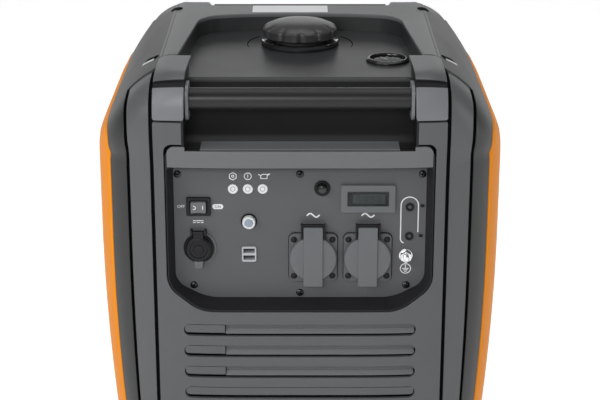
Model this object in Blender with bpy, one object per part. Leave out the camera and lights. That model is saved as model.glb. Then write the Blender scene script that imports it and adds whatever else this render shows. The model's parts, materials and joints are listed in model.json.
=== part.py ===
"""Inverter generator: a closed plastic case round a petrol engine, with a recessed control panel.

Metres, +Z up, front towards -Y, origin on the floor under the middle of the case.
"""

import math

import bmesh
import bpy
from mathutils import Matrix, Vector

# Fits that many pieces share
GAP = 0.0003
SEAM = 0.0006
RUNNING = 0.0006

# Case form
CASE_WIDTH = 0.431
CASE_DEPTH = 0.450
CASE_TOP = 0.525
BASE_WIDTH = 0.385
BELLY_DROP = 0.187
SHOULDER_HEIGHT = 0.089
CROWN_WIDTH = 0.280
CROWN_DEPTH = 0.400
FRONT_ROUND = 0.040
PLAN_POWER = 5.0
CROWN_POWER = 12.0
SHOULDER_POWER = 1.28
RING_POINTS = 40
BARREL_ROWS = 5
SHOULDER_ROWS = 7
WALL = 0.004

# How the case is divided
CENTRE_HALF = 0.1502
SIDE_COVER_HALF_DEPTH = 0.184
SIDE_COVER_DROP = 0.0584
SIDE_COVER_CORNER = 0.040
SIDE_COVER_POWER = 8.0
SIDE_COVER_PROUD = 0.0015
SIDE_COVER_STEPS = 12
COVER_DROP = 0.045
COVER_UPRIGHT = 0.0118

# Base and feet
FOOT_HEIGHT = 0.020
FOOT_RADIUS = 0.023
FOOT_TAPER = 0.004
FOOT_INSET_X = 0.0405
FOOT_INSET_Y = 0.060
BASE_HEIGHT = 0.040
RAIL_HEIGHT = 0.074
RAIL_WIDTH = 0.030
RAIL_SPACING = 0.080
RAIL_LENGTH = 0.130

# Handles, wells and tray
WELL_HALF = 0.117
REAR_WELL_HALF = 0.106
WELL_WALL = 0.0024
WELL_DROP = 0.075
WELL_FLOOR_DEPTH = 0.037
WELL_BACK_DEPTH = 0.060
REAR_WELL_FLOOR_DEPTH = 0.082
REAR_WELL_BACK_DEPTH = 0.107
WELL_SLOPE_HEIGHT = 0.028
BAR_HEIGHT = 0.0235
BAR_DEPTH = 0.024
BAR_ROUND = 0.009
BAR_DROP = 0.0282
BAR_SETBACK = 0.028
TRAY_DEPTH = 0.020
TRAY_FLOOR = 0.003
TRAY_STEP_Y = -0.123
TRAY_STEP = 0.009
TRAY_REAR_HALF = 0.114
TRAY_CORNER_Y = 0.038
TRAY_REAR_Y = 0.072
TRAY_REAR_FLAT = 0.070
TRAY_ROUND = 0.022

# Fuel
TANK_HALF_WIDTH = 0.112
TANK_FRONT_Y = -0.105
TANK_REAR_Y = 0.095
TANK_CLEARANCE = 0.030
TANK_WALL = 0.003
TANK_ROUND = 0.018
FILLER_Y = 0.005
NECK_RADIUS = 0.029
NECK_WALL = 0.003
NECK_ABOVE_TRAY = 0.0075
COLLAR_RADIUS = 0.0435
COLLAR_HEIGHT = 0.0055
COLLAR_EDGE = 0.0025
GASKET_HEIGHT = 0.002
CAP_RADIUS = 0.0415
CAP_HEIGHT = 0.017
CAP_SKIRT = 0.0075
GAUGE_FROM_SIDE = 0.031
GAUGE_Y = -0.071
GAUGE_RADIUS = 0.0235
GAUGE_RING = 0.004
GAUGE_EDGE = 0.001
GAUGE_HEIGHT = 0.0035
LENS_HEIGHT = 0.0021

# Control panel
BEZEL_BELOW_WELL = 0.0011
BEZEL_HEIGHT = 0.173
BEZEL_CORNER_RISE = 0.0355
BEZEL_CORNER_RUN = 0.0344
BEZEL_ROUND = 0.020
BEZEL_TOP_ROUND = 0.006
BEZEL_RIM = 0.0020
BEZEL_STRIP = 0.0155
BEZEL_DRAFT = 0.0030
BEZEL_FLOOR_DROP = 0.006
RECESS_DEPTH = 0.0245
PLATE_THICKNESS = 0.003
PLATE_OVERLAP = 0.004
PANEL_DROP = 0.0915

SWITCH_AT = (-0.105, 0.028)
SWITCH_SIZE = (0.025, 0.020)
ROCKER_SIZE = (0.0160, 0.0120)
ROCKER_PROUD = 0.0035
ROCKER_PLAY = 0.0007
ROCKER_DISH = 0.0010
SWITCH_LIP = 0.003
SWITCH_WALL = 0.0018
SWITCH_BODY = 0.014

LAMP_Z = 0.047
LAMP_XS = (-0.0691, -0.0537, -0.0384)
LAMP_RADIUS = 0.0052
LAMP_PROUD = 0.0015
LAMP_BEHIND = 0.010

BREAKER_AT = (-0.0529, 0.0115)
BREAKER_RADIUS = 0.0068
RESET_AT = (0.0230, 0.0475)
RESET_RADIUS = 0.0056
BUTTON_PROUD = 0.0070
BUTTON_BEHIND = 0.012
BUTTON_EDGE = 0.001

DC_AT = (-0.1055, -0.018)
DC_FLANGE_RADIUS = 0.0158
DC_BARREL_RADIUS = 0.0130
DC_BORE_RADIUS = 0.0105
DC_DEPTH = 0.034
DC_BORE_DEPTH = 0.030
DC_FLANGE = 0.002
DC_CAP_RADIUS = 0.0138
DC_CAP_THICKNESS = 0.005
DC_KNUCKLE = 0.0024
DC_TAB_WIDTH = 0.0105
DC_TAB_THICKNESS = 0.0045
DC_EAR = 0.0025
DC_HINGE_UP = 0.0185
DC_LIFT_REACH = 0.0075
DC_LIFT_WIDTH = 0.0090
DC_LIFT_THICKNESS = 0.0040

USB_AT = (-0.0531, -0.0245)
USB_SIZE = (0.0150, 0.0166)
USB_PORT = (0.0120, 0.0050)
USB_PITCH = 0.0076
USB_LIP = 0.0012
USB_INSET = 0.0005
USB_DEPTH = 0.016
USB_PORT_DEPTH = 0.012

AC_XS = (0.0137, 0.0705)
AC_Z = -0.028
AC_FLANGE_SIZE = (0.0505, 0.0534)
AC_FLANGE_ROUND = 0.006
AC_FLANGE = 0.003
AC_BARREL_RADIUS = 0.0220
AC_RECESS_RADIUS = 0.0195
AC_RECESS_DEPTH = 0.0175
AC_DEPTH = 0.033
AC_PIN_SPACING = 0.019
AC_PIN_RADIUS = 0.0025
AC_PIN_FLOOR = 0.006
AC_HINGE_UP = 0.0375
AC_HINGE_OUT = 0.0075
AC_HINGE_RADIUS = 0.0033
AC_HINGE_HALF = 0.0126
AC_STRAP_WIDTH = 0.0200
AC_STRAP_DROP = 0.0290
AC_STRAP_RAISE = 0.003
AC_FLAP_RADIUS = 0.0246
AC_FLAP_THICKNESS = 0.0046

DISPLAY_AT = (0.0704, 0.0368)
DISPLAY_SIZE = (0.0560, 0.0296)
WINDOW_SIZE = (0.0426, 0.0156)
DISPLAY_LIP = 0.0032
WINDOW_THICKNESS = 0.0016

JACK_X = 0.1135
JACK_ZS = (0.027, -0.005)
JACK_RADIUS = 0.0045
JACK_BARREL = 0.0034
JACK_BORE = 0.0020
JACK_LIP = 0.0015
JACK_DEPTH = 0.014
JACK_FLOOR = 0.003
STUD_AT = (0.1104, -0.026)
STUD_RADIUS = 0.003
STUD_NUT_RADIUS = 0.0064
STUD_NUT = 0.006
STUD_WASHER_RADIUS = 0.0072
STUD_WASHER = 0.0015
STUD_PAST_NUT = 0.0050
STUD_BEHIND = 0.012

# Louvres and side openings
LOUVRE_BELOW_BEZEL = 0.0195
LOUVRE_ABOVE_BASE = 0.045
LOUVRE_PITCH = 0.0235
LOUVRE_LENGTH = 0.2414
LOUVRE_HEIGHT = 0.011
LOUVRE_DEPTH = 0.0022
POCKET_Z = 0.225
POCKET_HALF_LENGTH = 0.066
POCKET_HALF_HEIGHT = 0.032
POCKET_ROUND = 0.012
POCKET_DEPTH = 0.026
GRIP_Y = -0.018
GRIP_LENGTH = 0.072
GRIP_HEIGHT = 0.022
GRIP_DEPTH = 0.020
GRIP_ROUND = 0.006
KNOB_Y = 0.044
KNOB_RADIUS = 0.014
KNOB_DEPTH = 0.016
KNOB_RIB_LENGTH = 0.025
KNOB_RIB_WIDTH = 0.006
KNOB_RIB_DEPTH = 0.006
DOOR_Y = 0.030
DOOR_Z = 0.240
DOOR_HALF_LENGTH = 0.070
DOOR_HALF_HEIGHT = 0.080
DOOR_ROUND = 0.014
LATCH_FROM_EDGE = 0.020
LATCH_RADIUS = 0.013
LATCH_RECESS = 0.0022
LATCH_THICKNESS = 0.0040
LATCH_SLOT = 0.0030

# Engine
CRANK_Z = 0.165
CRANK_RADIUS = 0.0125
CRANK_STUB = 0.007
CRANK_TAIL = 0.013
BLOCK_LEFT_X = -0.0550
BLOCK_RIGHT_X = 0.075
BLOCK_HALF_DEPTH = 0.065
BLOCK_TOP_Z = 0.235
FLANGE_RADIUS = 0.093
FLANGE_THICKNESS = 0.008
BARREL_HALF = 0.046
BARREL_TOP_Z = 0.305
HEAD_HEIGHT = 0.040
HEAD_HALF = 0.050
ROCKER_COVER_HALF = 0.040
ROCKER_COVER_HEIGHT = 0.026
PLUG_LENGTH = 0.046
PLUG_HEX_RADIUS = 0.012
PLUG_HEX = 0.012
PLUG_TIP_RADIUS = 0.006
STATOR_LENGTH = 0.030
STATOR_RADIUS = 0.055
STATOR_BORE = 0.032
ROTOR_CLEARANCE = 0.0035
ROTOR_WALL = 0.014
ROTOR_WEB = 0.008
FAN_RADIUS = 0.074
FAN_DISC = 0.004
FAN_BLADE = 0.012
FAN_BLADE_START = 0.030
FAN_BLADE_MARGIN = 0.004
FAN_BLADES = 10
SHROUD_STEP = 0.003
SHROUD_WALL = 0.003
SHROUD_MOUTH = 0.034
SHROUD_CLEARANCE = 0.010
CARB_SIZE = (0.046, 0.042, 0.044)
CLEANER_SIZE = (0.062, 0.110, 0.096)
CLEANER_ROUND = 0.008
MUFFLER_SIZE = (0.190, 0.096, 0.100)
MUFFLER_ROUND = 0.020
MUFFLER_NECK = 0.020
MUFFLER_NECK_RADIUS = 0.016
TAIL_X = -0.050
TAIL_RADIUS = 0.016
TAIL_WALL = 0.002
TAIL_DEPTH = 0.030
TAIL_INSET = 0.003
INVERTER_SIZE = (0.190, 0.045, 0.165)
INVERTER_SETBACK = 0.040
INVERTER_FINS = 8
INVERTER_FIN = 0.004
INVERTER_FIN_DEPTH = 0.012

# Facets
ROUND_SIDES = 20
FINE_SIDES = 28
SMALL_SIDES = 12
DOME_STEPS = 3
CORNER_STEPS = 3
LOUVRE_END_STEPS = 2
SMOOTH_ANGLE = math.radians(35)

# Finishes
DARK = (0.075, 0.078, 0.083)
GREY = (0.125, 0.130, 0.137)
LIGHT_GREY = (0.235, 0.250, 0.265)
BLACK = (0.020, 0.020, 0.022)
ORANGE = (0.800, 0.270, 0.035)
WHITE = (0.800, 0.800, 0.800)
STEEL = (0.560, 0.570, 0.580)
ALUMINIUM = (0.500, 0.510, 0.520)
COPPER = (0.450, 0.200, 0.080)

# Heights and places that follow from the sizes above
BASE_Z = FOOT_HEIGHT
SEAT_Z = BASE_Z + BASE_HEIGHT
HALF_WIDTH = CASE_WIDTH / 2
HALF_DEPTH = CASE_DEPTH / 2
BELLY_Z = CASE_TOP - BELLY_DROP
SHOULDER_Z = CASE_TOP - SHOULDER_HEIGHT
SIDE_COVER_TOP = CASE_TOP - SIDE_COVER_DROP
COVER_TOP = CASE_TOP - COVER_DROP
WELL_FLOOR_Z = CASE_TOP - WELL_DROP
BAR_Z = CASE_TOP - BAR_DROP
TRAY_Z = CASE_TOP - TRAY_DEPTH
TRAY_FRONT_HALF = WELL_HALF + TRAY_STEP
BEZEL_HALF = CENTRE_HALF - COVER_UPRIGHT
BEZEL_BOTTOM_HALF = BEZEL_HALF - BEZEL_CORNER_RUN
BEZEL_TOP = WELL_FLOOR_Z - WELL_WALL - BEZEL_BELOW_WELL
BEZEL_BOTTOM = BEZEL_TOP - BEZEL_HEIGHT
BEZEL_CORNER_Z = BEZEL_BOTTOM + BEZEL_CORNER_RISE
LOUVRE_TOP_Z = BEZEL_BOTTOM - LOUVRE_BELOW_BEZEL
PANEL_Z = BEZEL_TOP - PANEL_DROP
PLATE_Y = -(HALF_DEPTH - RECESS_DEPTH)
BLOCK_X = (BLOCK_LEFT_X + BLOCK_RIGHT_X) / 2
HEAD_TOP = BARREL_TOP_Z + GAP + HEAD_HEIGHT
HEAD_Z = HEAD_TOP - HEAD_HEIGHT / 2
ENGINE_TOP = max(HEAD_TOP + ROCKER_COVER_HEIGHT, HEAD_Z + CLEANER_SIZE[2] / 2, HEAD_Z + MUFFLER_SIZE[2] / 2)
CRANK_AT = Vector((BLOCK_LEFT_X, 0, CRANK_Z))
ROTOR_INNER = STATOR_RADIUS + ROTOR_CLEARANCE
ROTOR_OUTER = ROTOR_INNER + ROTOR_WALL
WEB_START = GAP + STATOR_LENGTH + ROTOR_CLEARANCE
FAN_START = WEB_START + ROTOR_WEB + GAP
FAN_END = FAN_START + FAN_DISC + FAN_BLADE
SHROUD_RADIUS = FLANGE_RADIUS - SHROUD_STEP

# A length past the whole object, for zones and cutters
BEYOND = CASE_TOP + CASE_DEPTH


# Scene and object helpers

for leftover in list(bpy.data.objects):
    bpy.data.objects.remove(leftover)

PARTS = bpy.data.collections.new("inverter_generator")
CUTTERS = bpy.data.collections.new("inverter_generator_cutters")
for collection in (PARTS, CUTTERS):
    bpy.context.scene.collection.children.link(collection)

STAND = bpy.data.objects.new("generator_origin", None)
PARTS.objects.link(STAND)


def finish(name, colour, roughness, metallic=0.0):
    """One Principled material."""
    made = bpy.data.materials.new(name)
    made.use_nodes = True
    shader = made.node_tree.nodes["Principled BSDF"]
    shader.inputs["Base Color"].default_value = (*colour, 1.0)
    shader.inputs["Roughness"].default_value = roughness
    shader.inputs["Metallic"].default_value = metallic
    return made


def link_mesh(name, bm, collection):
    mesh = bpy.data.meshes.new(name)
    bm.to_mesh(mesh)
    bm.free()
    obj = bpy.data.objects.new(name, mesh)
    collection.objects.link(obj)
    return obj


def part(name, bm, colour, roughness=0.5, metallic=0.0, axis_point=None):
    """A finished sub-part. A moving one has its origin at a point of its joint's axis."""
    if axis_point is not None:
        bmesh.ops.translate(bm, verts=bm.verts, vec=-Vector(axis_point))
    obj = link_mesh(name, bm, PARTS)
    obj.parent = STAND
    if axis_point is not None:
        obj.location = axis_point
    obj.data.materials.append(finish(name + "_finish", colour, roughness, metallic))
    obj.data.shade_smooth()
    obj.data.set_sharp_from_angle(angle=SMOOTH_ANGLE)
    return obj


def helper(name, bm):
    """A cutter or a piece to be joined on, left out of the finished object."""
    obj = link_mesh(name, bm, CUTTERS)
    obj.hide_render = True
    obj.display_type = "WIRE"
    return obj


def boolean(obj, other, operation):
    modifier = obj.modifiers.new(operation.lower(), "BOOLEAN")
    modifier.operation = operation
    modifier.object = other
    return obj


def grazing(obj):
    """Piece whose cuts graze the facets of the case form, so its Booleans take the manifold solver."""
    for modifier in obj.modifiers:
        modifier.solver = "MANIFOLD"


def cut(obj, name, bm):
    return boolean(obj, helper(name, bm), "DIFFERENCE")


def join(obj, name, bm):
    return boolean(obj, helper(name, bm), "UNION")


def keep(obj, name, bm):
    return boolean(obj, helper(name, bm), "INTERSECT")


# Mesh helpers

def outward(bm):
    """Turn the faces of one closed shape so that they all point out."""
    bmesh.ops.recalc_face_normals(bm, faces=bm.faces)
    if bm.calc_volume(signed=True) < 0:
        bmesh.ops.reverse_faces(bm, faces=bm.faces)
    return bm


def block(low, high, radius=0.0, segments=2):
    """A box between two corners, with its edges rounded where a radius is given."""
    bm = bmesh.new()
    size = Vector(high) - Vector(low)
    middle = (Vector(high) + Vector(low)) / 2
    bmesh.ops.create_cube(bm, size=1.0)
    bmesh.ops.scale(bm, vec=size, verts=bm.verts)
    bmesh.ops.translate(bm, vec=middle, verts=bm.verts)
    if radius:
        bmesh.ops.bevel(bm, geom=bm.edges[:], offset=radius, segments=segments, profile=0.5,
                        affect="EDGES", clamp_overlap=True, material=-1)
    return bm


def block_at(centre, size, radius=0.0):
    half = Vector(size) / 2
    return block(Vector(centre) - half, Vector(centre) + half, radius)


def facing(axis):
    """Rotation that turns +Z to the given direction."""
    return Vector((0, 0, 1)).rotation_difference(Vector(axis)).to_matrix().to_4x4()


def rod(start, axis, radius, length, sides=ROUND_SIDES):
    """A cylinder from a start point along an axis."""
    bm = bmesh.new()
    bmesh.ops.create_cone(bm, cap_ends=True, segments=sides, radius1=radius, radius2=radius, depth=length)
    bmesh.ops.translate(bm, vec=(0, 0, length / 2), verts=bm.verts)
    bm.transform(Matrix.Translation(start) @ facing(axis))
    return bm


def turned(profile, start, axis, sides=ROUND_SIDES, ring=False):
    """A profile of (radius, height) turned about an axis. A ring's profile closes on itself."""
    bm = bmesh.new()
    points = [bm.verts.new((radius, 0, height)) for radius, height in profile]
    edges = [bm.edges.new(pair) for pair in zip(points, points[1:])]
    if ring:
        edges.append(bm.edges.new((points[-1], points[0])))
    bmesh.ops.spin(bm, geom=points + edges, cent=(0, 0, 0), axis=(0, 0, 1), angle=math.tau,
                   steps=sides, use_merge=True)
    bmesh.ops.remove_doubles(bm, verts=bm.verts, dist=1e-6)
    bm.transform(Matrix.Translation(start) @ facing(axis))
    return outward(bm)


def domed(radius, side, height):
    """Profile of a domed disc, from the middle of its top down to the middle of its underside."""
    profile = []
    for i in range(DOME_STEPS + 1):
        turn = math.pi / 2 * i / DOME_STEPS
        profile.append((radius * math.sin(turn), side + (height - side) * math.cos(turn)))
    return profile + [(radius, 0), (0, 0)]


def loft(rings):
    """A closed skin over rings of equal point count, capped at both ends."""
    bm = bmesh.new()
    loops = [[bm.verts.new(point) for point in ring] for ring in rings]
    for low, high in zip(loops, loops[1:]):
        for i in range(len(low)):
            bm.faces.new((low[i - 1], low[i], high[i], high[i - 1]))
    bm.faces.new(loops[0])
    bm.faces.new(loops[-1])
    return outward(bm)


def placed(outline, axis, at):
    """Points of a flat outline: (y, z) seen along X, (x, z) along Y or (x, y) along Z."""
    if axis == "X":
        return [(at, u, v) for u, v in outline]
    if axis == "Y":
        return [(u, at, v) for u, v in outline]
    return [(u, v, at) for u, v in outline]


def prism(outline, axis, start, stop):
    return loft([placed(outline, axis, start), placed(outline, axis, stop)])


def rounded(corners, steps=CORNER_STEPS):
    """Outline whose corners (u, v, radius) are turned into arcs."""
    outline = []
    for i, (u, v, radius) in enumerate(corners):
        here = Vector((u, v))
        back = (Vector(corners[i - 1][:2]) - here).normalized()
        ahead = (Vector(corners[(i + 1) % len(corners)][:2]) - here).normalized()
        if not radius:
            outline.append((u, v))
            continue
        half = back.angle(ahead) / 2
        centre = here + (back + ahead).normalized() * radius / math.sin(half)
        first = here + back * radius / math.tan(half) - centre
        last = here + ahead * radius / math.tan(half) - centre
        for step in range(steps + 1):
            outline.append(tuple(centre + first.slerp(last, step / steps) * radius))
    return outline


def rectangle(centre, size, radius=0.0, grow=0.0, steps=CORNER_STEPS):
    half_u = size[0] / 2 + grow
    half_v = size[1] / 2 + grow
    u, v = centre
    round_ = radius + grow if radius else 0.0
    return rounded([(u - half_u, v - half_v, round_), (u + half_u, v - half_v, round_),
                    (u + half_u, v + half_v, round_), (u - half_u, v + half_v, round_)], steps)


def merged(first, *others):
    """Several closed shapes in one mesh, for a cutter."""
    for other in others:
        spare = bpy.data.meshes.new("spare")
        other.to_mesh(spare)
        other.free()
        first.from_mesh(spare)
        bpy.data.meshes.remove(spare)
    return first


# The case form

def half_width(z):
    """Half the case's width at a height: drawn in below the belly, rounded over the shoulder."""
    if z < BELLY_Z:
        share = (BELLY_Z - z) / (BELLY_Z - BASE_Z)
        return HALF_WIDTH - (HALF_WIDTH - BASE_WIDTH / 2) * share ** 2
    if z < SHOULDER_Z:
        return HALF_WIDTH
    rise = min(1.0, (z - SHOULDER_Z) / SHOULDER_HEIGHT)
    run = (1 - rise ** SHOULDER_POWER) ** (1 / SHOULDER_POWER)
    return CROWN_WIDTH / 2 + (HALF_WIDTH - CROWN_WIDTH / 2) * run


def half_depth(z):
    """Half the case's depth at a height, rounded towards the top."""
    rise = min(1.0, max(0.0, (z - (CASE_TOP - FRONT_ROUND)) / FRONT_ROUND))
    return CROWN_DEPTH / 2 + (HALF_DEPTH - CROWN_DEPTH / 2) * math.sqrt(1 - rise ** 2)


def rounded_power(value, power):
    return math.copysign(abs(value) ** (2 / power), value)


def case_ring(z, grow):
    """A superellipse section of the case, squarer towards the top, moved out or in by grow."""
    wide = half_width(z) + grow
    deep = half_depth(z) + grow
    rise = max(0.0, (z - SHOULDER_Z) / SHOULDER_HEIGHT)
    power = PLAN_POWER + (CROWN_POWER - PLAN_POWER) * rise
    lift = grow * rise
    ring = []
    for i in range(RING_POINTS):
        turn = math.tau * i / RING_POINTS
        across = wide * rounded_power(math.cos(turn), power)
        along = deep * rounded_power(math.sin(turn), power)
        ring.append((across, along, z + lift))
    return ring


def case_heights(bottom):
    """Section heights: even up the sides, closer together over the shoulder."""
    sides = [bottom + (SHOULDER_Z - bottom) * i / BARREL_ROWS for i in range(BARREL_ROWS)]
    shoulder = []
    for i in range(SHOULDER_ROWS + 1):
        turn = math.pi / 2 * i / SHOULDER_ROWS
        shoulder.append(SHOULDER_Z + SHOULDER_HEIGHT * math.sin(turn) ** (2 / SHOULDER_POWER))
    return sides + shoulder


def case_form(grow=0.0, bottom=BASE_Z):
    return loft([case_ring(z, grow) for z in case_heights(bottom)])


CASE_OUTER = helper("case_outer", case_form())
CASE_INNER = helper("case_inner", case_form(-WALL, BASE_Z + BASE_HEIGHT / 2))


def case_panel(name, zone, colour, grow=0.0, roughness=0.45):
    """The part of the case wall that lies inside a zone."""
    panel = part(name, case_form(grow), colour, roughness)
    boolean(panel, CASE_INNER, "DIFFERENCE")
    return keep(panel, name + "_zone", zone)


def side_outline(grow):
    """The side cover's edge seen from the side: upright below, a rounded arch above."""
    low = SEAT_Z + GAP
    centre = SIDE_COVER_TOP - SIDE_COVER_CORNER
    outline = [(SIDE_COVER_HALF_DEPTH + grow, low)]
    for i in range(SIDE_COVER_STEPS + 1):
        turn = math.pi * i / SIDE_COVER_STEPS
        along = (SIDE_COVER_HALF_DEPTH + grow) * rounded_power(math.cos(turn), SIDE_COVER_POWER)
        up = (SIDE_COVER_CORNER + grow) * rounded_power(math.sin(turn), SIDE_COVER_POWER)
        outline.append((along, centre + up))
    outline.append((-SIDE_COVER_HALF_DEPTH - grow, low))
    return outline


# Base tray and feet

def make_base():
    base = part("base_tray", case_form(), BLACK, 0.6)
    keep(base, "base_zone", block((-BEYOND, -BEYOND, 0), (BEYOND, BEYOND, SEAT_Z)))
    cut(base, "base_hollow", case_form(-WALL, BASE_Z + WALL))
    for side in (-1, 1):
        middle = BLOCK_X + side * RAIL_SPACING / 2
        low = (middle - RAIL_WIDTH / 2, -RAIL_LENGTH / 2, BASE_Z + WALL / 2)
        high = (middle + RAIL_WIDTH / 2, RAIL_LENGTH / 2, BASE_Z + RAIL_HEIGHT)
        join(base, "engine_rail", block(low, high))


def make_feet():
    foot_x = BASE_WIDTH / 2 - FOOT_INSET_X
    foot_y = HALF_DEPTH - FOOT_INSET_Y
    top = FOOT_HEIGHT - GAP
    profile = [(0, top), (FOOT_RADIUS, top), (FOOT_RADIUS - FOOT_TAPER, 0), (0, 0)]
    for name, side, end in (("foot_front_left", -1, -1), ("foot_front_right", 1, -1),
                            ("foot_rear_left", -1, 1), ("foot_rear_right", 1, 1)):
        part(name, turned(profile, (side * foot_x, end * foot_y, 0), (0, 0, 1)), BLACK, 0.8)


# Outer covers

def louvre_slots():
    """Rounded slots across the front and the back, only as deep as LOUVRE_DEPTH into the wall."""
    room = LOUVRE_TOP_Z - SEAT_Z - LOUVRE_ABOVE_BASE
    slots = []
    for i in range(1 + int(room / LOUVRE_PITCH)):
        centre = (0, LOUVRE_TOP_Z - i * LOUVRE_PITCH)
        size = (LOUVRE_LENGTH, LOUVRE_HEIGHT)
        outline = rectangle(centre, size, LOUVRE_HEIGHT / 2 - GAP, steps=LOUVRE_END_STEPS)
        slots.append(prism(outline, "Y", -BEYOND, BEYOND))
    slots = helper("louvre_slots", merged(*slots))
    return boolean(slots, helper("louvre_floor", case_form(-LOUVRE_DEPTH)), "DIFFERENCE")


def bezel_outline(grow=0.0):
    """Edge of the recess's frame, with the two lower corners cut off."""
    side = BEZEL_HALF + grow
    top = BEZEL_TOP + grow
    corner = BEZEL_CORNER_Z - grow
    low = BEZEL_BOTTOM - grow
    return rounded([(side, top, BEZEL_TOP_ROUND), (-side, top, BEZEL_TOP_ROUND), (-side, corner, BEZEL_ROUND),
                    (-BEZEL_BOTTOM_HALF, low, BEZEL_ROUND), (BEZEL_BOTTOM_HALF, low, BEZEL_ROUND),
                    (side, corner, BEZEL_ROUND)])


def well_outline(end, grow):
    """Side view of a handle well: floor, sloping back and upright back. end is -1 front, 1 rear."""
    mouth = end * BEYOND
    floor = WELL_FLOOR_Z - grow
    floor_depth = WELL_FLOOR_DEPTH if end < 0 else REAR_WELL_FLOOR_DEPTH
    back_depth = WELL_BACK_DEPTH if end < 0 else REAR_WELL_BACK_DEPTH
    floor_back = end * (HALF_DEPTH - floor_depth - grow)
    back = end * (HALF_DEPTH - back_depth - grow)
    bend = WELL_FLOOR_Z + WELL_SLOPE_HEIGHT
    top = TRAY_Z + grow
    return [(mouth, floor), (floor_back, floor), (back, bend), (back, top), (mouth, top)]


def well_hollow(end, half):
    outline = well_outline(end, 0.0)
    outline[3] = (outline[3][0], BEYOND)
    outline[4] = (outline[4][0], BEYOND)
    return prism(outline, "X", -half, half)


def make_front_and_rear(slots):
    for name, end, half in (("front_cover", -1, WELL_HALF), ("rear_cover", 1, REAR_WELL_HALF)):
        low_y, high_y = sorted((0, end * BEYOND))
        zone = block((-CENTRE_HALF, low_y, SEAT_Z + GAP), (CENTRE_HALF, high_y, COVER_TOP))
        cover = case_panel(name, zone, GREY)
        boolean(cover, slots, "DIFFERENCE")
        mouth = half + WELL_WALL + GAP
        floor = WELL_FLOOR_Z - WELL_WALL - GAP
        cut(cover, name + "_mouth", block((-mouth, low_y, floor), (mouth, high_y, BEYOND)))
        if end < 0:
            cut(cover, "panel_window", prism(bezel_outline(GAP), "Y", -BEYOND, 0))
        else:
            cut(cover, "tail_hole", rod((TAIL_X, 0, HEAD_Z), (0, 1, 0), TAIL_RADIUS + RUNNING, BEYOND))
        grazing(cover)


def make_hoops():
    for name, side in (("left_hoop", -1), ("right_hoop", 1)):
        inner = CENTRE_HALF + SEAM
        low_x, high_x = sorted((side * inner, side * BEYOND))
        zone = block((low_x, -BEYOND, SEAT_Z + GAP), (high_x, BEYOND, BEYOND))
        hoop = case_panel(name, zone, DARK, roughness=0.3)
        cut(hoop, name + "_side", prism(side_outline(SEAM), "X", 0, side * BEYOND))


def pocket_box(grow, depth):
    """The hollow in the left side cover that holds the starter grip, from its floor outwards."""
    size = (POCKET_HALF_LENGTH * 2, POCKET_HALF_HEIGHT * 2)
    outline = rectangle((0, POCKET_Z), size, POCKET_ROUND, grow)
    return prism(outline, "X", pocket_floor_x() + depth, -BEYOND)


def pocket_floor_x():
    return -(half_width(POCKET_Z) - POCKET_DEPTH)


def door_outline(grow=0.0):
    size = (DOOR_HALF_LENGTH * 2, DOOR_HALF_HEIGHT * 2)
    return rectangle((DOOR_Y, DOOR_Z), size, DOOR_ROUND, grow)


def make_side_covers():
    left_zone = prism(side_outline(0), "X", 0, -BEYOND)
    left = case_panel("left_side_cover", left_zone, ORANGE, SIDE_COVER_PROUD, 0.3)
    tub = helper("pocket_tub", pocket_box(WALL / 2, WALL))
    boolean(tub, helper("pocket_limit", case_form(SIDE_COVER_PROUD / 2)), "INTERSECT")
    boolean(left, tub, "UNION")
    cut(left, "pocket_hollow", pocket_box(0.0, 0.0))
    grazing(left)
    right_zone = prism(side_outline(0), "X", 0, BEYOND)
    right = case_panel("right_side_cover", right_zone, ORANGE, SIDE_COVER_PROUD, 0.3)
    cut(right, "door_window", prism(door_outline(), "X", 0, BEYOND))


def door_axis():
    """The door turns on an upright line at its front edge, outside its skin."""
    top = DOOR_Z + DOOR_HALF_HEIGHT
    return (half_width(top) + SIDE_COVER_PROUD, DOOR_Y - DOOR_HALF_LENGTH + SEAM, DOOR_Z)


def latch_seat_x():
    return half_width(DOOR_Z) + SIDE_COVER_PROUD - LATCH_RECESS


def make_door():
    pivot = door_axis()
    door = part("service_door", case_form(SIDE_COVER_PROUD), ORANGE, 0.3, axis_point=pivot)
    boolean(door, CASE_INNER, "DIFFERENCE")
    keep(door, "door_zone", prism(door_outline(-SEAM), "X", 0, BEYOND))
    latch_at = (latch_seat_x(), DOOR_Y + DOOR_HALF_LENGTH - LATCH_FROM_EDGE, DOOR_Z)
    cut(door, "latch_recess", rod(latch_at, (1, 0, 0), LATCH_RADIUS + SEAM, BEYOND))
    seat = (latch_at[0] + GAP, latch_at[1], latch_at[2])
    disc = rod(seat, (1, 0, 0), LATCH_RADIUS, LATCH_THICKNESS)
    latch = part("door_latch", disc, BLACK, 0.5, axis_point=seat)
    slot_low = (seat[0] + LATCH_THICKNESS / 2, seat[1] - LATCH_SLOT / 2, seat[2] - LATCH_RADIUS * 2)
    slot_high = (seat[0] + LATCH_THICKNESS * 2, seat[1] + LATCH_SLOT / 2, seat[2] + LATCH_RADIUS * 2)
    cut(latch, "latch_slot", block(slot_low, slot_high))


# Top cover, handles and brackets

def tray_outline(grow=0.0):
    """Plan of the tray: wide at the front, narrower towards its crowned rear wall."""
    front = -(HALF_DEPTH - WELL_BACK_DEPTH) - WELL_WALL / 2
    narrow = WELL_HALF + grow
    step = TRAY_STEP_Y - grow
    corners = [(narrow, front, 0), (narrow, step, 0), (TRAY_FRONT_HALF + grow, step, 0),
               (TRAY_REAR_HALF + grow, TRAY_CORNER_Y, TRAY_ROUND),
               (TRAY_REAR_FLAT, TRAY_REAR_Y + grow, TRAY_ROUND)]
    return rounded(corners + [(-u, v, r) for u, v, r in reversed(corners)])


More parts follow.
